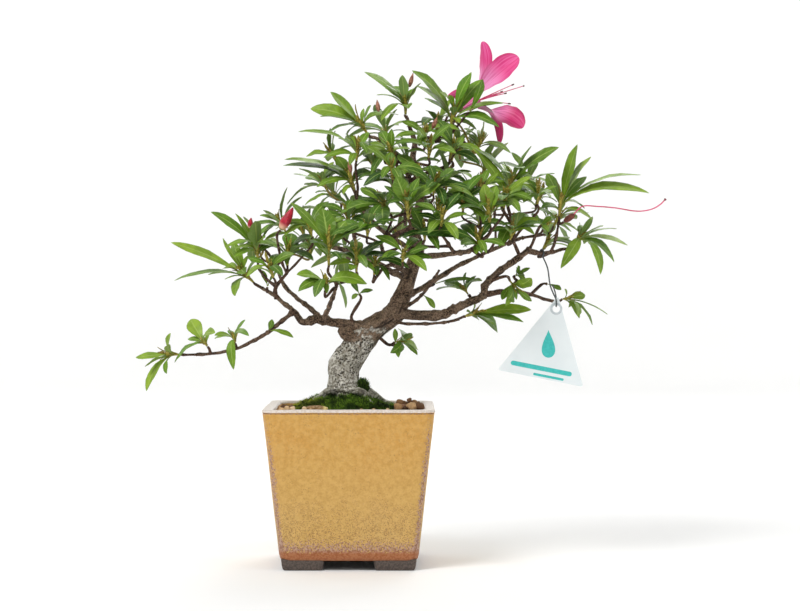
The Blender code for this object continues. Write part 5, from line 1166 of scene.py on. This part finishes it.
# The leaves of a spray's solid: a tip is a corner that lies further from its shoot than all that it joins.
# Of the three corners beside it the two furthest apart are the blade's edges, and the third its keel.
# The shoot is the one that is near and that the blade's tip points away from
def leavesOf(node, feet, draw):
    work = bmesh.new()
    work.from_mesh(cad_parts[node].data)
    bmesh.ops.remove_doubles(work, verts=work.verts, dist=5e-6)
    work.verts.index_update()
    spots = (np.array([vert.co for vert in work.verts]) - potAxis) / mm
    starts = np.array([foot + way * length * 0.48 for foot, way, length in feet])
    away = np.linalg.norm(spots[:, None] - starts, axis=-1)
    rows = []
    for vert in work.verts:
        beside = [edge.other_vert(vert).index for edge in vert.link_edges]
        if len(beside) != 3:
            continue
        tip, corners = spots[vert.index], spots[beside]
        toward = unit(starts - tip) @ unit(corners.mean(axis=0) - tip)
        near = int(np.argmin(away[vert.index] * (1.7 - toward)))
        reach = away[:, near]
        if reach[vert.index] < 6.0 or (reach[beside] > reach[vert.index]).any():
            continue
        foot, way, length = feet[near]
        orders = ((0, 1, 2), (1, 2, 0), (2, 0, 1))
        a, b, c = max(orders, key=lambda order: np.linalg.norm(corners[order[0]] - corners[order[1]]))
        edge = corners[b] - corners[a]
        apart = tip - foot
        apart = unit(apart - way * (apart @ way))
        root = foot + way * length * 0.48 + apart * 0.5
        row = leafRow(draw, way, root, tip, np.linalg.norm(edge) / 0.74, 0.0, ageAndShadeAt(tip, draw))
        tangent = unit(tip - row["bend"])
        upright = (corners[a] + corners[b]) / 2 - corners[c]
        side = unit(edge) * np.sign(np.cross(tangent, edge) @ upright)
        row["roll"] = math.atan2(side @ np.cross(tangent, row["across"]), side @ row["across"])
        row["width"] *= leaf["fullness"]
        turnToLight(row, 0.45)
        rows.append(row)
    work.free()
    return rows


goldenAngle = 2.39996


# More leaves by rule, on the golden angle round the shoot, each drawn again until it is clear of all that stands
def moreLeaves(draw, foot, way, length, count, others, reach):
    rows = []
    side = unit(np.cross(way, np.eye(3)[np.argmin(np.abs(way))]))
    for k in range(count):
        for attempt in range(24):
            turn = goldenAngle * (k + 1) + draw.uniform(-0.5, 0.5) + 0.5 * attempt
            around = side * math.cos(turn) + np.cross(way, side) * math.sin(turn)
            lean = math.radians(draw.uniform(35, 95))
            far = draw.uniform(*reach) * (1.0 - 0.012 * attempt)
            root = foot + way * length * draw.uniform(0.2, 0.95) + around * 0.5
            tip = root + (way * math.cos(lean) + around * math.sin(lean)) * far - (0, 0, draw.uniform(0, 4))
            row = leafRow(draw, way, root, tip, far * leaf["width"] * draw.uniform(0.8, 1.2), draw.uniform(-0.5, 0.5),
                          ageAndShadeAt(tip, draw))
            turnToLight(row, draw.uniform(0.3, 0.9))
            # None dips into the soil or below the rim
            if tip[2] < 101 + 0.2 * abs(tip[0]) * (abs(tip[0]) < 60):
                continue
            shape = bladeShapes(stack([row]), np.array([0.0, 0.35, 0.7]), 3, 0.3)[0]
            faces = shape[1].tolist() + shape[2].tolist()
            if not meets(shape[0], faces, others):
                others.append(solidTree(shape[0], faces))
                rows.append(row)
                break
    return rows


# The narrow young leaves and scales that stand round a shoot's tip
def bractRows(draw, foot, way, length):
    side = unit(np.cross(way, np.eye(3)[np.argmin(np.abs(way))]))
    rows = []
    for k in range(leaf["bracts"] if length >= 8 else 3):
        turn = goldenAngle * k + draw.uniform(-0.3, 0.3)
        around = side * math.cos(turn) + np.cross(way, side) * math.sin(turn)
        lean = math.radians(draw.uniform(5, 30))
        root = foot + way * length * draw.uniform(0.1, 1.0) + around * 0.6
        tip = root + (way * math.cos(lean) + around * math.sin(lean)) * draw.uniform(4, 10)
        rows.append(leafRow(draw, way, root, tip, draw.uniform(1.2, 2.2), 0.0, 0.0, 1.0))
    return rows


def makeLeafPaint():
    look = Material("azaleaLeaf")
    _, v, off = look.stripPlace()
    tone, below = look.mark("tone"), look.mark("underside")
    young = look.mix(tone, paint(146, 174, 48), paint(98, 142, 28))
    old = look.mix(tone, paint(78, 116, 22), paint(32, 68, 10))
    # The old, dark green goes to leaves deep in the crown: partly their age, partly painted shade
    green = look.mix(look.mark("ageAndShade"), young, old)
    patches = look.mottle(170.0, 4.0)
    green = look.mix(patches, green, paint(48, 86, 14), 0.35)
    # Side veins leave the rib at a slant: a sine of the way along less the way out, sharpened
    vein = look.calc("SINE", look.times(look.line(off, -0.16, v), 52.0))
    vein = look.times(look.rise(vein, 0.72, 1.0), look.rise(off, 0.95, 0.7))
    rib = look.rise(off, 0.13, 0.03)
    green = look.mix(vein, green, paint(142, 176, 84), 0.22)
    green = look.mix(rib, green, paint(168, 192, 96), 0.6)
    green = look.mix(below, green, look.mix(rib, paint(124, 148, 86), paint(170, 184, 104), 0.7), 0.68)
    green = look.mix(look.rise(off, 0.93, 1.0), green, paint(96, 84, 46), 0.45)
    green = look.mix(look.rise(v, 0.2, 0.02), green, paint(170, 168, 78), 0.6)
    hairy = look.mix(look.mottle(900.0), paint(186, 172, 70), paint(106, 108, 30))
    green = look.mix(look.mark("bract"), green, look.mix(tone, hairy, paint(112, 72, 44), 0.5))
    height = look.line(vein, -0.5, look.times(rib, -1.0))
    height = look.line(look.grain(900.0, detail=3.0, output="Height"), 0.8, height)
    rough = look.line(below, 0.25, look.line(patches, 0.1, 0.38))
    return look.finish(colour=green, roughness=rough, specular=0.34, normal=look.bump(height, 0.5, 0.00018))


# The tube of a shoot, thickest past its middle and rounded at the tip; a short one is slimmer
def shootTube(foot, way, length):
    along = 0.2 + length * np.array([0.0, 0.2, 0.5, 0.8, 1.05, 1.15])
    radii = np.array([0.75, 0.95, 1.15, 1.25, 0.85, 0.3]) * (0.65 if length < 8 else 1.0)
    return closedTube(foot + np.outer(along, way), radii, 10)


# The thin stem from a main shoot to a side shoot's foot: a Bezier curve that leaves forward and arrives along the way
def stemTube(feet, end, way):
    foot, ahead, length = feet[0]
    start = foot + ahead * (0.35 + 0.45 * length)
    span = np.linalg.norm(end - start)
    leave = unit(unit(end - start) + 0.6 * ahead)
    t = np.linspace(0.0, 1.0, 14)[:, None]
    first, second = start + leave * span * 0.4, end - way * span * 0.3
    return closedTube(cubic(start, first, second, end, t), np.linspace(0.6, 0.85, 14), 9)


# Leaves as one shape, with their UV map and the marks that their paint reads
def leafPiece(rows):
    shape, uv, below = bladeShapes(stack(rows))
    marks = {key: np.repeat([row[key] for row in rows], len(shape[0]) // len(rows)) for key in ("tone", "ageAndShade", "bract")}
    return shape, uv, {**marks, "underside": below}


# One spray: its blades, its shoots and their stems
def makeSpray(name, feet, rows, replaces=()):
    shape, uv, marks = leafPiece(rows)
    tubes = [shootTube(*foot) for foot in feet] + [stemTube(feet, foot, way) for foot, way, _ in feet[1:]]
    tube = joinShapes(tubes)
    count, stemmed = len(tube[0]), sum(len(part[0]) for part in tubes[:len(feet)])
    for key, last in (("tone", np.where(np.arange(count) < stemmed, 0.25, 0.9)), ("ageAndShade", np.zeros(count)),
                      ("bract", np.ones(count))):
        marks[key] = np.concatenate([marks[key], last])
    blades, fans = np.split(marks["underside"], [len(shape[1])])
    marks["underside"] = np.concatenate([blades, np.zeros(len(tube[1])), fans, np.zeros(len(tube[2]))])
    uv = np.concatenate([uv, np.full((count, 2), 0.5)])
    makePiece(name, joinShapes([shape, tube]), leafGreen, uv=uv, marks=marks, crease=75,
              replaces=replaces)


# More leafy shoots inside the crown: foot, way and length
innerShoots = [
    ((22, 10, 262), (-0.2, 0.2, 1), 9), ((48, -14, 268), (0.1, -0.3, 1), 9), ((38, 22, 252), (0, 0.4, 1), 9),
    ((64, -26, 258), (0.3, -0.4, 0.9), 9), ((16, -2, 252), (-0.3, 0, 1), 9), ((28, -40, 244), (-0.1, -0.5, 0.9), 9),
    ((52, 32, 240), (0, 0.5, 0.9), 9), ((-8, -6, 256), (-0.5, 0, 0.9), 9), ((44, -32, 242), (0, -0.5, 0.9), 9),
    ((84, -32, 232), (0, -0.4, 1), 9), ((96, 14, 228), (0.3, 0.2, 1), 9), ((12, -52, 208), (0, -0.5, 0.9), 9),
    ((-10, 22, 216), (-0.3, 0.3, 1), 9), ((20, 30, 224), (-0.1, 0.4, 1), 9), ((58, -60, 214), (0.1, -0.6, 0.9), 9),
    ((122, 18, 230), (0.4, 0.2, 1), 9), ((48, -46, 206), (0, -0.6, 0.8), 9), ((0, -32, 216), (-0.2, -0.4, 1), 9),
    ((-24, -30, 208), (-0.1, -0.4, 1), 9), ((-30, 12, 208), (-0.3, 0.2, 1), 9), ((30, 52, 206), (0, 0.6, 0.9), 9),
    ((-60, 22, 198), (-0.5, 0.3, 0.9), 9), ((134, 22, 216), (0.5, 0.2, 0.9), 9), ((98, -42, 226), (0.1, -0.4, 1), 9),
    ((72, -46, 224), (0, -0.5, 1), 9), ((-48, -34, 182), (-0.3, -0.4, 0.9), 9), ((16, -34, 184), (0.1, -0.4, 1), 9),
    ((34, -52, 192), (0.1, -0.6, 0.8), 9), ((102, -34, 206), (0.2, -0.4, 0.9), 9),
    ((126, 12, 200), (0.5, 0.1, 0.9), 9), ((56, -4, 222), (0.2, 0, 1), 9),
]


# The leaves that were noted singly: each arches from the stem's foot to its tip, on a twig from the nearest wood
def makeLooseLeaves(others):
    draw = np.random.default_rng(77)
    feet, rows = [], []
    for foot, tips in looseLeaves:
        foot = seen(*foot)
        way = unit(sum(unit(seen(x, foot[1] - 4, z) - foot) for x, z, _ in tips) + (0, 0, 0.5))
        feet.append((foot, way))
        for x, z, width in tips:
            tip = seen(x, foot[1] - draw.uniform(1, 8), z)
            row = leafRow(draw, way, foot + way * 0.6, tip, width, 0.0, ageAndShadeAt(tip, draw))
            turnToLight(row, 0.8)
            rows.append(row)
    shape, uv, marks = leafPiece(rows)
    makePiece("loose_leaves", shape, leafGreen, uv=uv, marks=marks, crease=75)
    makeTwigs("loose_twigs", growTwigs(skeleton, feet, others, 900), 600)


def makeTwigs(name, twigs, seed):
    tubes = [barkTube(knots, radii * 0.9, wood["twigSides"], seed + k, wood["collar"], 0.8, 0.22)
             for k, (knots, radii) in enumerate(twigs)]
    whole = joinShapes([tube[0] for tube in tubes])
    marks = {"furrowShade": np.concatenate([tube[1] for tube in tubes]), "twig": np.full(len(whole[0]), 0.85),
             "paleness": np.zeros(len(whole[0]))}
    makePiece(name, whole, bark, marks=marks)


def growFoliage():
    others = [nodeTree(name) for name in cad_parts]
    for number, (name, (foot, way, length)) in enumerate(shoots.items()):
        feet = [(seen(*foot), unit(way), length)]
        feet += [(np.array(end, float), unit(sideWay), leaf["sideLength"]) for end, sideWay in sideShoots.get(name, [])]
        draw = np.random.default_rng(200 + number)
        rows = leavesOf("leaves_" + name, feet, draw)
        perShoot, reach = (7, (9.0, 16.0)) if length < 9 else (leaf["perShoot"], leaf["reach"])
        more = perShoot * len(feet) - len(rows)
        for foot in feet:
            rows += moreLeaves(draw, *foot, max(round(more / len(feet)), 1), others, reach)
            rows += bractRows(draw, *foot)
        makeSpray("spray_" + name, feet, rows, ["leaves_" + name])
    feet = [(np.array(foot, float), unit(way)) for foot, way, _ in innerShoots]
    makeTwigs("inner_twigs", growTwigs(skeleton, feet, others, 300), 400)
    for number, (foot, way, length) in enumerate(innerShoots):
        draw = np.random.default_rng(500 + number)
        foot = (np.array(foot, float), unit(way), length)
        rows = moreLeaves(draw, *foot, 7, others, (15.0, 24.0)) + bractRows(draw, *foot)
        makeSpray(f"inner_spray_{number + 1:02d}", [foot], rows)
    makeLooseLeaves(others)
    radii = np.array([0.5, 1.0, 1.35, 1.5, 1.45, 1.25, 0.9, 0.5, 0.15])
    buds = [closedTube(np.linspace(seen(*near), seen(*far), 9), radii, 14) for near, far in scaleBuds]
    brown = twoTone("budScales", paint(176, 120, 96), paint(120, 66, 46), (700.0, 4.0), (1500.0, 0.5, 0.0003),
                    roughness=0.6)
    makePiece("scale_buds", joinShapes(buds), brown)


leafGreen = makeLeafPaint()
growFoliage()
print("leaves grown")


# The open flower, the style of a dropped one and two buds

# The tube widens like a funnel and its wall folds back inside: way along and radius of each ring.
# The calyx has five small lobes: way along, radius, how deep the lobes are cut and how far they reach
flower = {"foot": (68, 6, 290), "throat": (83, 6, 298), "stations": 26, "columns": 13, "thick": 0.3, "sides": 40,
          "tube": [(4.0, 1.5), (5.5, 2.2), (8.0, 3.0), (11.0, 3.7), (14.5, 4.5), (17.2, 5.5), (18.0, 5.9), (17.4, 5.3),
                   (14.0, 4.0), (10.5, 3.0), (7.0, 1.6)],
          "calyx": [(0.3, 0.75, 0, 0), (1.4, 0.85, 0, 0), (2.3, 1.3, 0.1, 0), (3.0, 1.95, 0.2, 0), (3.8, 2.1, 0.3, 0),
                    (4.8, 2.5, 0.5, 0.6), (5.6, 2.7, 0.7, 1.8)]}
# Each petal: tip, width, sideways turn, ruffle, how far its tip curls back and how wide it opens
petals = [((86, 2, 336), 10.0, 0.9, 0.35, 0.0, 0.45), ((109, -8, 325), 16.0, 0.35, 0.45, 0.3, 0.45),
          ((112, -10, 280), 16.5, 1.25, 0.45, 0.6, 1.15), ((98, 12, 270), 6.0, -1.2, 0.3, 0.5, 0.7),
          ((64, 24, 302), 9.0, 0.0, 0.5, 0.4, 0.45)]
stamens = [(106, 4, 308), (101, 0, 302), (104, 8, 296), (99, 10, 304), (113, 2, 307)]
oldStyle = [(146, -14, 224), (150, -14, 228), (160, -13, 228), (172, -12, 227), (185, -12, 225), (194, -12, 226),
            (200, -12, 229), (204, -12, 233)]


def makePetalPaint():
    look = Material("azaleaPetal")
    u, v, off = look.stripPlace()
    stretched = look.node("CombineXYZ", {0: look.times(u, 16.0), 1: look.times(v, 1.6), 2: 0.0}).outputs[0]
    streak = look.node("TexNoise", {"Vector": stretched, "Scale": 1.0, "Detail": 3.0}).outputs[0]
    deep = look.mark("deepness")
    far = look.mix(deep, paint(228, 66, 140), paint(196, 20, 98))
    body = look.mix(look.rise(v, 0.3, 0.72), paint(240, 152, 204), far)
    light = look.times(look.rise(streak, 0.48, 0.72), look.line(deep, -0.4, 0.6))
    body = look.mix(light, body, paint(240, 132, 188))
    darker = look.mix(deep, paint(212, 44, 118), paint(160, 14, 78))
    body = look.mix(look.rise(streak, 0.5, 0.34), body, darker, 0.6)
    body = look.mix(look.rise(off, 0.7, 1.0), body, darker, 0.55)
    return look.finish(colour=body, roughness=0.48, sheen=0.25, specular=0.35, normal=look.bump(streak, 0.45, 0.0004))


# A petal: the leaf's closed strip with more columns, cupped, ruffled along its edges and rounded at its tip,
# where its stations lie closer
def petalShape(root, way, tip, width, turn, ruffle, curl, seed):
    rows, columns = flower["stations"], flower["columns"]
    t = 1.0 - (1.0 - np.linspace(0.0, 1.0, rows + 1)[:-1, None])**1.5
    bend = root + way * np.linalg.norm(tip - root) * 0.55
    across = unit(np.cross(way, unit(tip - root)))
    side, top = rolledAxes(archWay(root, bend, tip, t), across, turn * soften(t, 0.0, 0.6))
    curl = curl * 2.6
    here = arch(root, bend, tip, t) - top * curl * soften(t, 0.6, 1.0)
    ring, under = stripRing(columns)
    roundness = np.sqrt(np.clip(1.0 - (np.clip((t - 0.6) / 0.4, 0, 1))**2.4, 0.0, 1.0))
    half = width / 2 * ((0.34 + 0.66 * soften(t, 0.0, 0.6)) * roundness)
    waves = np.sin(math.tau * (2.6 * t + 0.13 * seed)) + 0.6 * np.sin(math.tau * (5.3 * t + 0.29 * seed + 0.2 * ring))
    height = half * (0.42 * ring**2 + 0.13 * ruffle * waves * ring**2)
    height = height - 0.35 * np.exp(-(ring / 0.16)**2) * soften(t, 1.0, 0.7) - under * flower["thick"]
    points = here[:, None] + side[:, None] * (half * ring)[..., None] + top[:, None] * height[..., None]
    points = np.concatenate([points.reshape(-1, 3), [here[0], tip - top[-1] * curl]])
    return (points, *ringFaces(rows, len(ring))), stripUv(ring, t)


def makeCorolla(foot, throat, way, circle):
    along, radii = np.array(flower["tube"]).T
    turn = turns(flower["sides"])
    fluted = radii[:, None] * (1 + 0.05 * np.cos(5 * turn))
    rings = foot + along[:, None, None] * way + circle * fluted[..., None]
    points = np.concatenate([rings.reshape(-1, 3), [foot + way * along[0], foot + way * along[-1]]])
    shapes = [(points, *ringFaces(len(along), len(turn)))]
    uvs = [np.column_stack([np.tile(turn / math.tau, len(along)), np.repeat(along / 60, len(turn))]), [[0.5, 0.0]] * 2]
    deepness = [np.full(len(points), 0.2)]
    for seed, (tip, width, twist, ruffle, curl, opening) in enumerate(petals):
        outward = tip - throat
        outward = unit(outward - way * (outward @ way))
        root = throat - way * 2.0 + outward * 4.6
        start, tip = unit(way + outward * opening), np.array(tip, float)
        shape, uv = petalShape(root, start, tip, width, twist, ruffle, curl, seed)
        shapes.append(shape)
        uvs.append(uv)
        deepness.append(np.full(len(shape[0]), 0.9 if seed in (2, 3) else 0.15))
    makePiece("corolla_petals", joinShapes(shapes), makePetalPaint(), uv=np.concatenate(uvs), crease=80,
              marks={"deepness": np.concatenate(deepness)}, replaces=["corolla"])


# Stamens and style: curved filaments, each with its anther
def makeStamens(foot, throat, way, side):
    seat = foot + way * 6.9
    filaments, anthers = [], []
    ball, quads, triangles = pebbleTemplate(7, 10)
    for number, tip in enumerate(np.array(stamens, float)):
        knots = [seat + way * 0.8, seat + way * 7 + (tip - throat) * 0.06, throat + (tip - throat) * 0.5, tip]
        route = splinePoints(knots, 40)
        filaments.append(closedTube(route, np.linspace(0.42, 0.26, 40), 8))
        ahead = unit(route[-1] - route[-4])
        size = (0.55, 0.55, 1.15) if number < 4 else (0.6, 0.6, 0.6)
        anthers.append((tip + (ball * size) @ np.array([side, np.cross(ahead, side), ahead]), quads, triangles))
    pink = twoTone("filamentPink", paint(222, 66, 120), paint(236, 122, 160), (300.0,), (900.0, 0.3, 0.0001),
                   roughness=0.5)
    makePiece("filaments", joinShapes(filaments), pink, replaces=["stamens"])
    dark = twoTone("antherDust", paint(84, 30, 52), paint(134, 84, 72), (1800.0, 3.0, 0.4, 0.6), (2600.0, 0.6, 0.0002),
                   roughness=0.8)
    makePiece("anthers", joinShapes(anthers), dark)


def makeFlower():
    foot, throat = np.array(flower["foot"], float), np.array(flower["throat"], float)
    way = unit(throat - foot)
    side = unit(np.cross(way, (0, 0, 1.0)))
    turn = turns(flower["sides"])
    circle = circles(side, np.cross(way, side), turn)
    makeCorolla(foot, throat, way, circle)
    makeStamens(foot, throat, way, side)
    # The stalk and the calyx
    along, radii, cut, reach = np.array(flower["calyx"]).T[..., None]
    lobes = 1 + cut * np.minimum(np.cos(5 * turn), 0) * 0.3
    rings = foot + along[..., None] * way + circle * (radii * lobes)[..., None]
    rings = rings + way * (np.maximum(np.cos(5 * turn), 0) * reach)[..., None]
    points = np.concatenate([rings.reshape(-1, 3), [foot + way * 0.3, foot + way * 4.6]])
    green = twoTone("calyxGreen", paint(142, 152, 66), paint(118, 92, 52), (500.0, 4.0), (1200.0, 0.5, 0.0002),
                    roughness=0.65)
    makePiece("stalk_and_calyx", (points, *ringFaces(len(along), len(turn))), green,
              replaces=["flower_stalk"])


# What a dropped flower left: its dry ribbed calyx and its long style, with a knob at the end
def makeOldStyle():
    near, far = (np.array(place, float) for place in onTwigs["calyx"])
    way = unit(far - near)
    along = np.array([0.3, 1.2, 2.4, 3.6, 5.0, 6.4, 7.6, 8.2])
    radii = np.array([0.8, 1.3, 1.8, 1.95, 1.9, 1.8, 1.5, 0.8])
    sides, rings = 24, 150
    fluted = radii[:, None] * (1 + 0.1 * np.cos(5 * turns(sides) + 0.25 * along[:, None]))
    dry = twoTone("dryCalyx", paint(126, 62, 48), paint(86, 44, 34), (600.0, 4.0), (1300.0, 0.6, 0.0003),
                  roughness=0.75)
    makePiece("dry_calyx", closedTube(near + np.outer(along, way), fluted, sides), dry,
              replaces=["old_calyx"])
    route, ring = splinePoints([far - way * 0.4, *oldStyle[1:]], rings), np.arange(rings)
    radii = 0.42 + 0.5 * soften(ring, 141, 146) - 0.45 * soften(ring, 147, 149.5)
    look = Material("stylePink")
    body = look.mix(look.mottle(260.0), paint(214, 76, 118), paint(196, 52, 92))
    body = look.mix(look.rise(look.mark("tip"), 0.93, 0.97), body, paint(120, 34, 52))
    pink = look.finish(colour=body, roughness=0.45, normal=look.grain(900.0, 0.3, 0.0001))
    marks = {"tip": np.concatenate([np.repeat(np.linspace(0, 1, rings), 10), [0, 1]])}
    makePiece("long_style", closedTube(route, radii, 10), pink, marks=marks, replaces=["old_style"])


# A closed bud: a pointed spindle whose rolled petals show as three twisted ridges
def makeBud(name, node, near, far, widest):
    near, far = np.array(near, float), np.array(far, float)
    way, length = unit(far - near), np.linalg.norm(far - near)
    share = np.linspace(0.02, 0.985, 30)
    profile = np.interp(share, [0, 0.08, 0.2, 0.42, 0.7, 0.9, 1.0], [0.26, 0.62, 0.86, 1.0, 0.7, 0.32, 0.06])
    sides = 36
    phase = (turns(sides) * 3 + share[:, None] * 4.5) % math.tau / math.tau
    ridges = 1 + 0.16 * (phase - 0.5) * soften(share, 0.12, 0.35)[:, None]
    shape = closedTube(near + np.outer(share * length, way), widest * profile[:, None] * ridges, sides)
    marks = {"along": np.concatenate([np.repeat(share, sides), [0, 1]]),
             "fold": np.concatenate([phase.ravel(), [0.5, 0.5]])}
    makePiece(name, shape, budRed, marks=marks, replaces=[node])


def makeBudPaint():
    look = Material("budCrimson")
    along = look.mark("along")
    body = look.mix(look.mottle(500.0), paint(190, 24, 50), paint(152, 16, 42))
    body = look.mix(look.rise(look.mark("fold"), 0.75, 1.0), body, paint(222, 74, 92), 0.5)
    body = look.mix(look.rise(along, 0.34, 0.12), body, paint(222, 170, 142))
    body = look.mix(look.rise(along, 0.12, 0.04), body, paint(134, 128, 62))
    return look.finish(colour=body, roughness=0.42, specular=0.45, normal=look.grain(900.0, 0.4, 0.0002))


makeFlower()
makeOldStyle()
budRed = makeBudPaint()
makeBud("bud_large_rolled", "bud_large", *onTwigs["budLarge"], 3.3)
makeBud("bud_small_rolled", "bud_small", *onTwigs["budSmall"], 1.8)
print("flower and buds made")


# The tag on its wire, the drainage mesh and its clip

# The mark is a drop and two stripes, given by middle, length and height; proud is how far it stands off the face.
# The rows of the grey ring of painted shade round the hole are radius and distance behind the front face
tag = {"y": -16.0, "thick": 1.0, "hole": (133, 162), "holeRadius": 2.4, "wire": 0.45, "slope": -11.2, "proud": 0.06,
       "drop": (128.0, 139.5), "dropSize": (6.2, 9.0),
       "stripes": [(123.4, 123.6, 40.0, 3.0), (128.0, 118.2, 20.0, 1.6)],
       "holeShade": [(2.5, 0.02), (3.9, 0.02), (3.9, -0.08), (3.8, -0.12), (2.6, -0.12), (2.5, -0.08)]}


def makeTagPaint():
    look = Material("whitePlastic")
    body = look.mix(look.mottle(45.0, 3.0, 0.2, 0.8), paint(236, 242, 243), paint(226, 234, 236))
    rough = look.line(look.mottle(900.0, 5.0, 0.55, 0.8), 0.2, 0.28)
    dressNode("tag", look.finish(colour=body, roughness=rough, specular=0.5, normal=look.grain(160.0, 0.08)))


# The plain mark on the tag, printed a hair proud of its front face, and a thin grey ring round the hole: painted shade
# where the wire passes through
def makeTagMark():
    turn, front = turns(48), tag["y"] - tag["thick"] / 2
    pinch = np.sin(turn / 2)**1.5
    wide, tall = tag["dropSize"]
    slope = math.radians(tag["slope"])
    tilted = np.array([[math.cos(slope), math.sin(slope)], [-math.sin(slope), math.cos(slope)]])
    outlines = [np.column_stack([wide * np.sin(turn) * pinch, tall * np.cos(turn)]) + tag["drop"]]
    for x, z, length, height in tag["stripes"]:
        corner = height / 2
        end = corner * np.column_stack([np.cos(turn), np.sin(turn)])
        end[:, 0] += np.where(np.cos(turn) > 0, length / 2 - corner, corner - length / 2)
        outlines.append(end @ tilted + (x, z))
    shapes = []
    for outline in outlines:
        rings = np.stack([np.column_stack([outline[:, 0], np.full(len(turn), y), outline[:, 1]])
                          for y in (front + 0.02, front - tag["proud"])])
        shapes.append((np.concatenate([rings.reshape(-1, 3), rings.mean(axis=1)]), *ringFaces(2, len(turn))))
    ink = twoTone("tealInk", paint(66, 196, 190), paint(52, 184, 178), (700.0, 3.0, 0.3, 0.7), (600.0, 0.1, 0.0001),
                  roughness=0.4)
    obj = makePiece("tag_mark", joinShapes(shapes), ink, crease=40)
    work = bmesh.new()
    work.from_mesh(obj.data)
    bmesh.ops.recalc_face_normals(work, faces=work.faces)
    work.to_mesh(obj.data)
    work.free()
    # Painted shade: a pale grey ring on the tag's face round the hole
    grey = twoTone("holeShadeGrey", paint(190, 198, 202), paint(206, 213, 216), (400.0, 3.0, 0.3, 0.7),
                   (500.0, 0.1, 0.0001), roughness=0.35)
    ring = np.column_stack([np.cos(turn), 0 * turn, np.sin(turn)])
    middle = np.array((tag["hole"][0], front, tag["hole"][1]))
    rings = np.array([middle + ring * radius + (0, behind, 0) for radius, behind in tag["holeShade"]])
    makePiece("tag_hole_shade", (rings.reshape(-1, 3), *ringFaces(len(rings), len(turn), closedLoop=True)), grey, crease=60)


# The wire: a turn and more round the twig, down to the tag, a U through its hole, and its end up behind
def makeWires():
    thick, knots = tag["wire"], 28
    ringAt = seen(124, -10, 198.4)
    along = unit((0.92, 0.39, -0.1))
    side = unit(np.array((0, 0, 1.0)) - along * along[2])
    up = np.cross(along, side)
    turn = np.radians(-150 + 330 * np.linspace(0, 1, knots))[:, None]
    ring = ringAt + (side * np.cos(turn) + up * np.sin(turn)) * (1.35 + thick + 0.35)
    ring = ring + along * 1.6 * np.linspace(0, 1, knots)[:, None]
    turnRadius = tag["thick"] / 2 + thick + 0.85
    edge = np.array((tag["hole"][0], tag["y"], tag["hole"][1] + tag["holeRadius"] + 0.9))
    strand = [ring[-1], (127.5, -15.5, 188), (129, -18.2, 177), edge + (-0.3, -turnRadius, 3.0)]
    turn = np.linspace(0.0, math.pi, 18)
    bow = edge + np.column_stack([0 * turn, -turnRadius * np.cos(turn), -turnRadius * np.sin(turn)])
    tail = [edge + (0.3, turnRadius, 3.0), edge + (-0.6, 1.6, 7.5), edge + (-2.2, 0.2, 12)]
    route = np.concatenate([ring, splinePoints(strand, 40)[1:], bow, tail])
    steel = twoTone("thinWire", paint(72, 76, 78), paint(104, 108, 110), (500.0, 3.0, 0.3, 0.7), (900.0, 0.2, 0.0001),
                    metallic=0.7, roughness=0.38)
    makePiece("tag_wire_round", closedTube(route, np.full(len(route), thick), 12), steel,
              replaces=["tag_wire"])
    for node, tone, metal in (("drain_screen", paint(34, 34, 34), 0.0), ("screen_wire", paint(150, 146, 138), 0.8)):
        dressNode(node, twoTone(node + "Finish", tone, dimmed(tone, 0.7), (400.0, 3.0, 0.3, 0.7), (500.0,),
                                metallic=metal, roughness=0.5))


makeTagPaint()
makeTagMark()
makeWires()
print("tag hung")
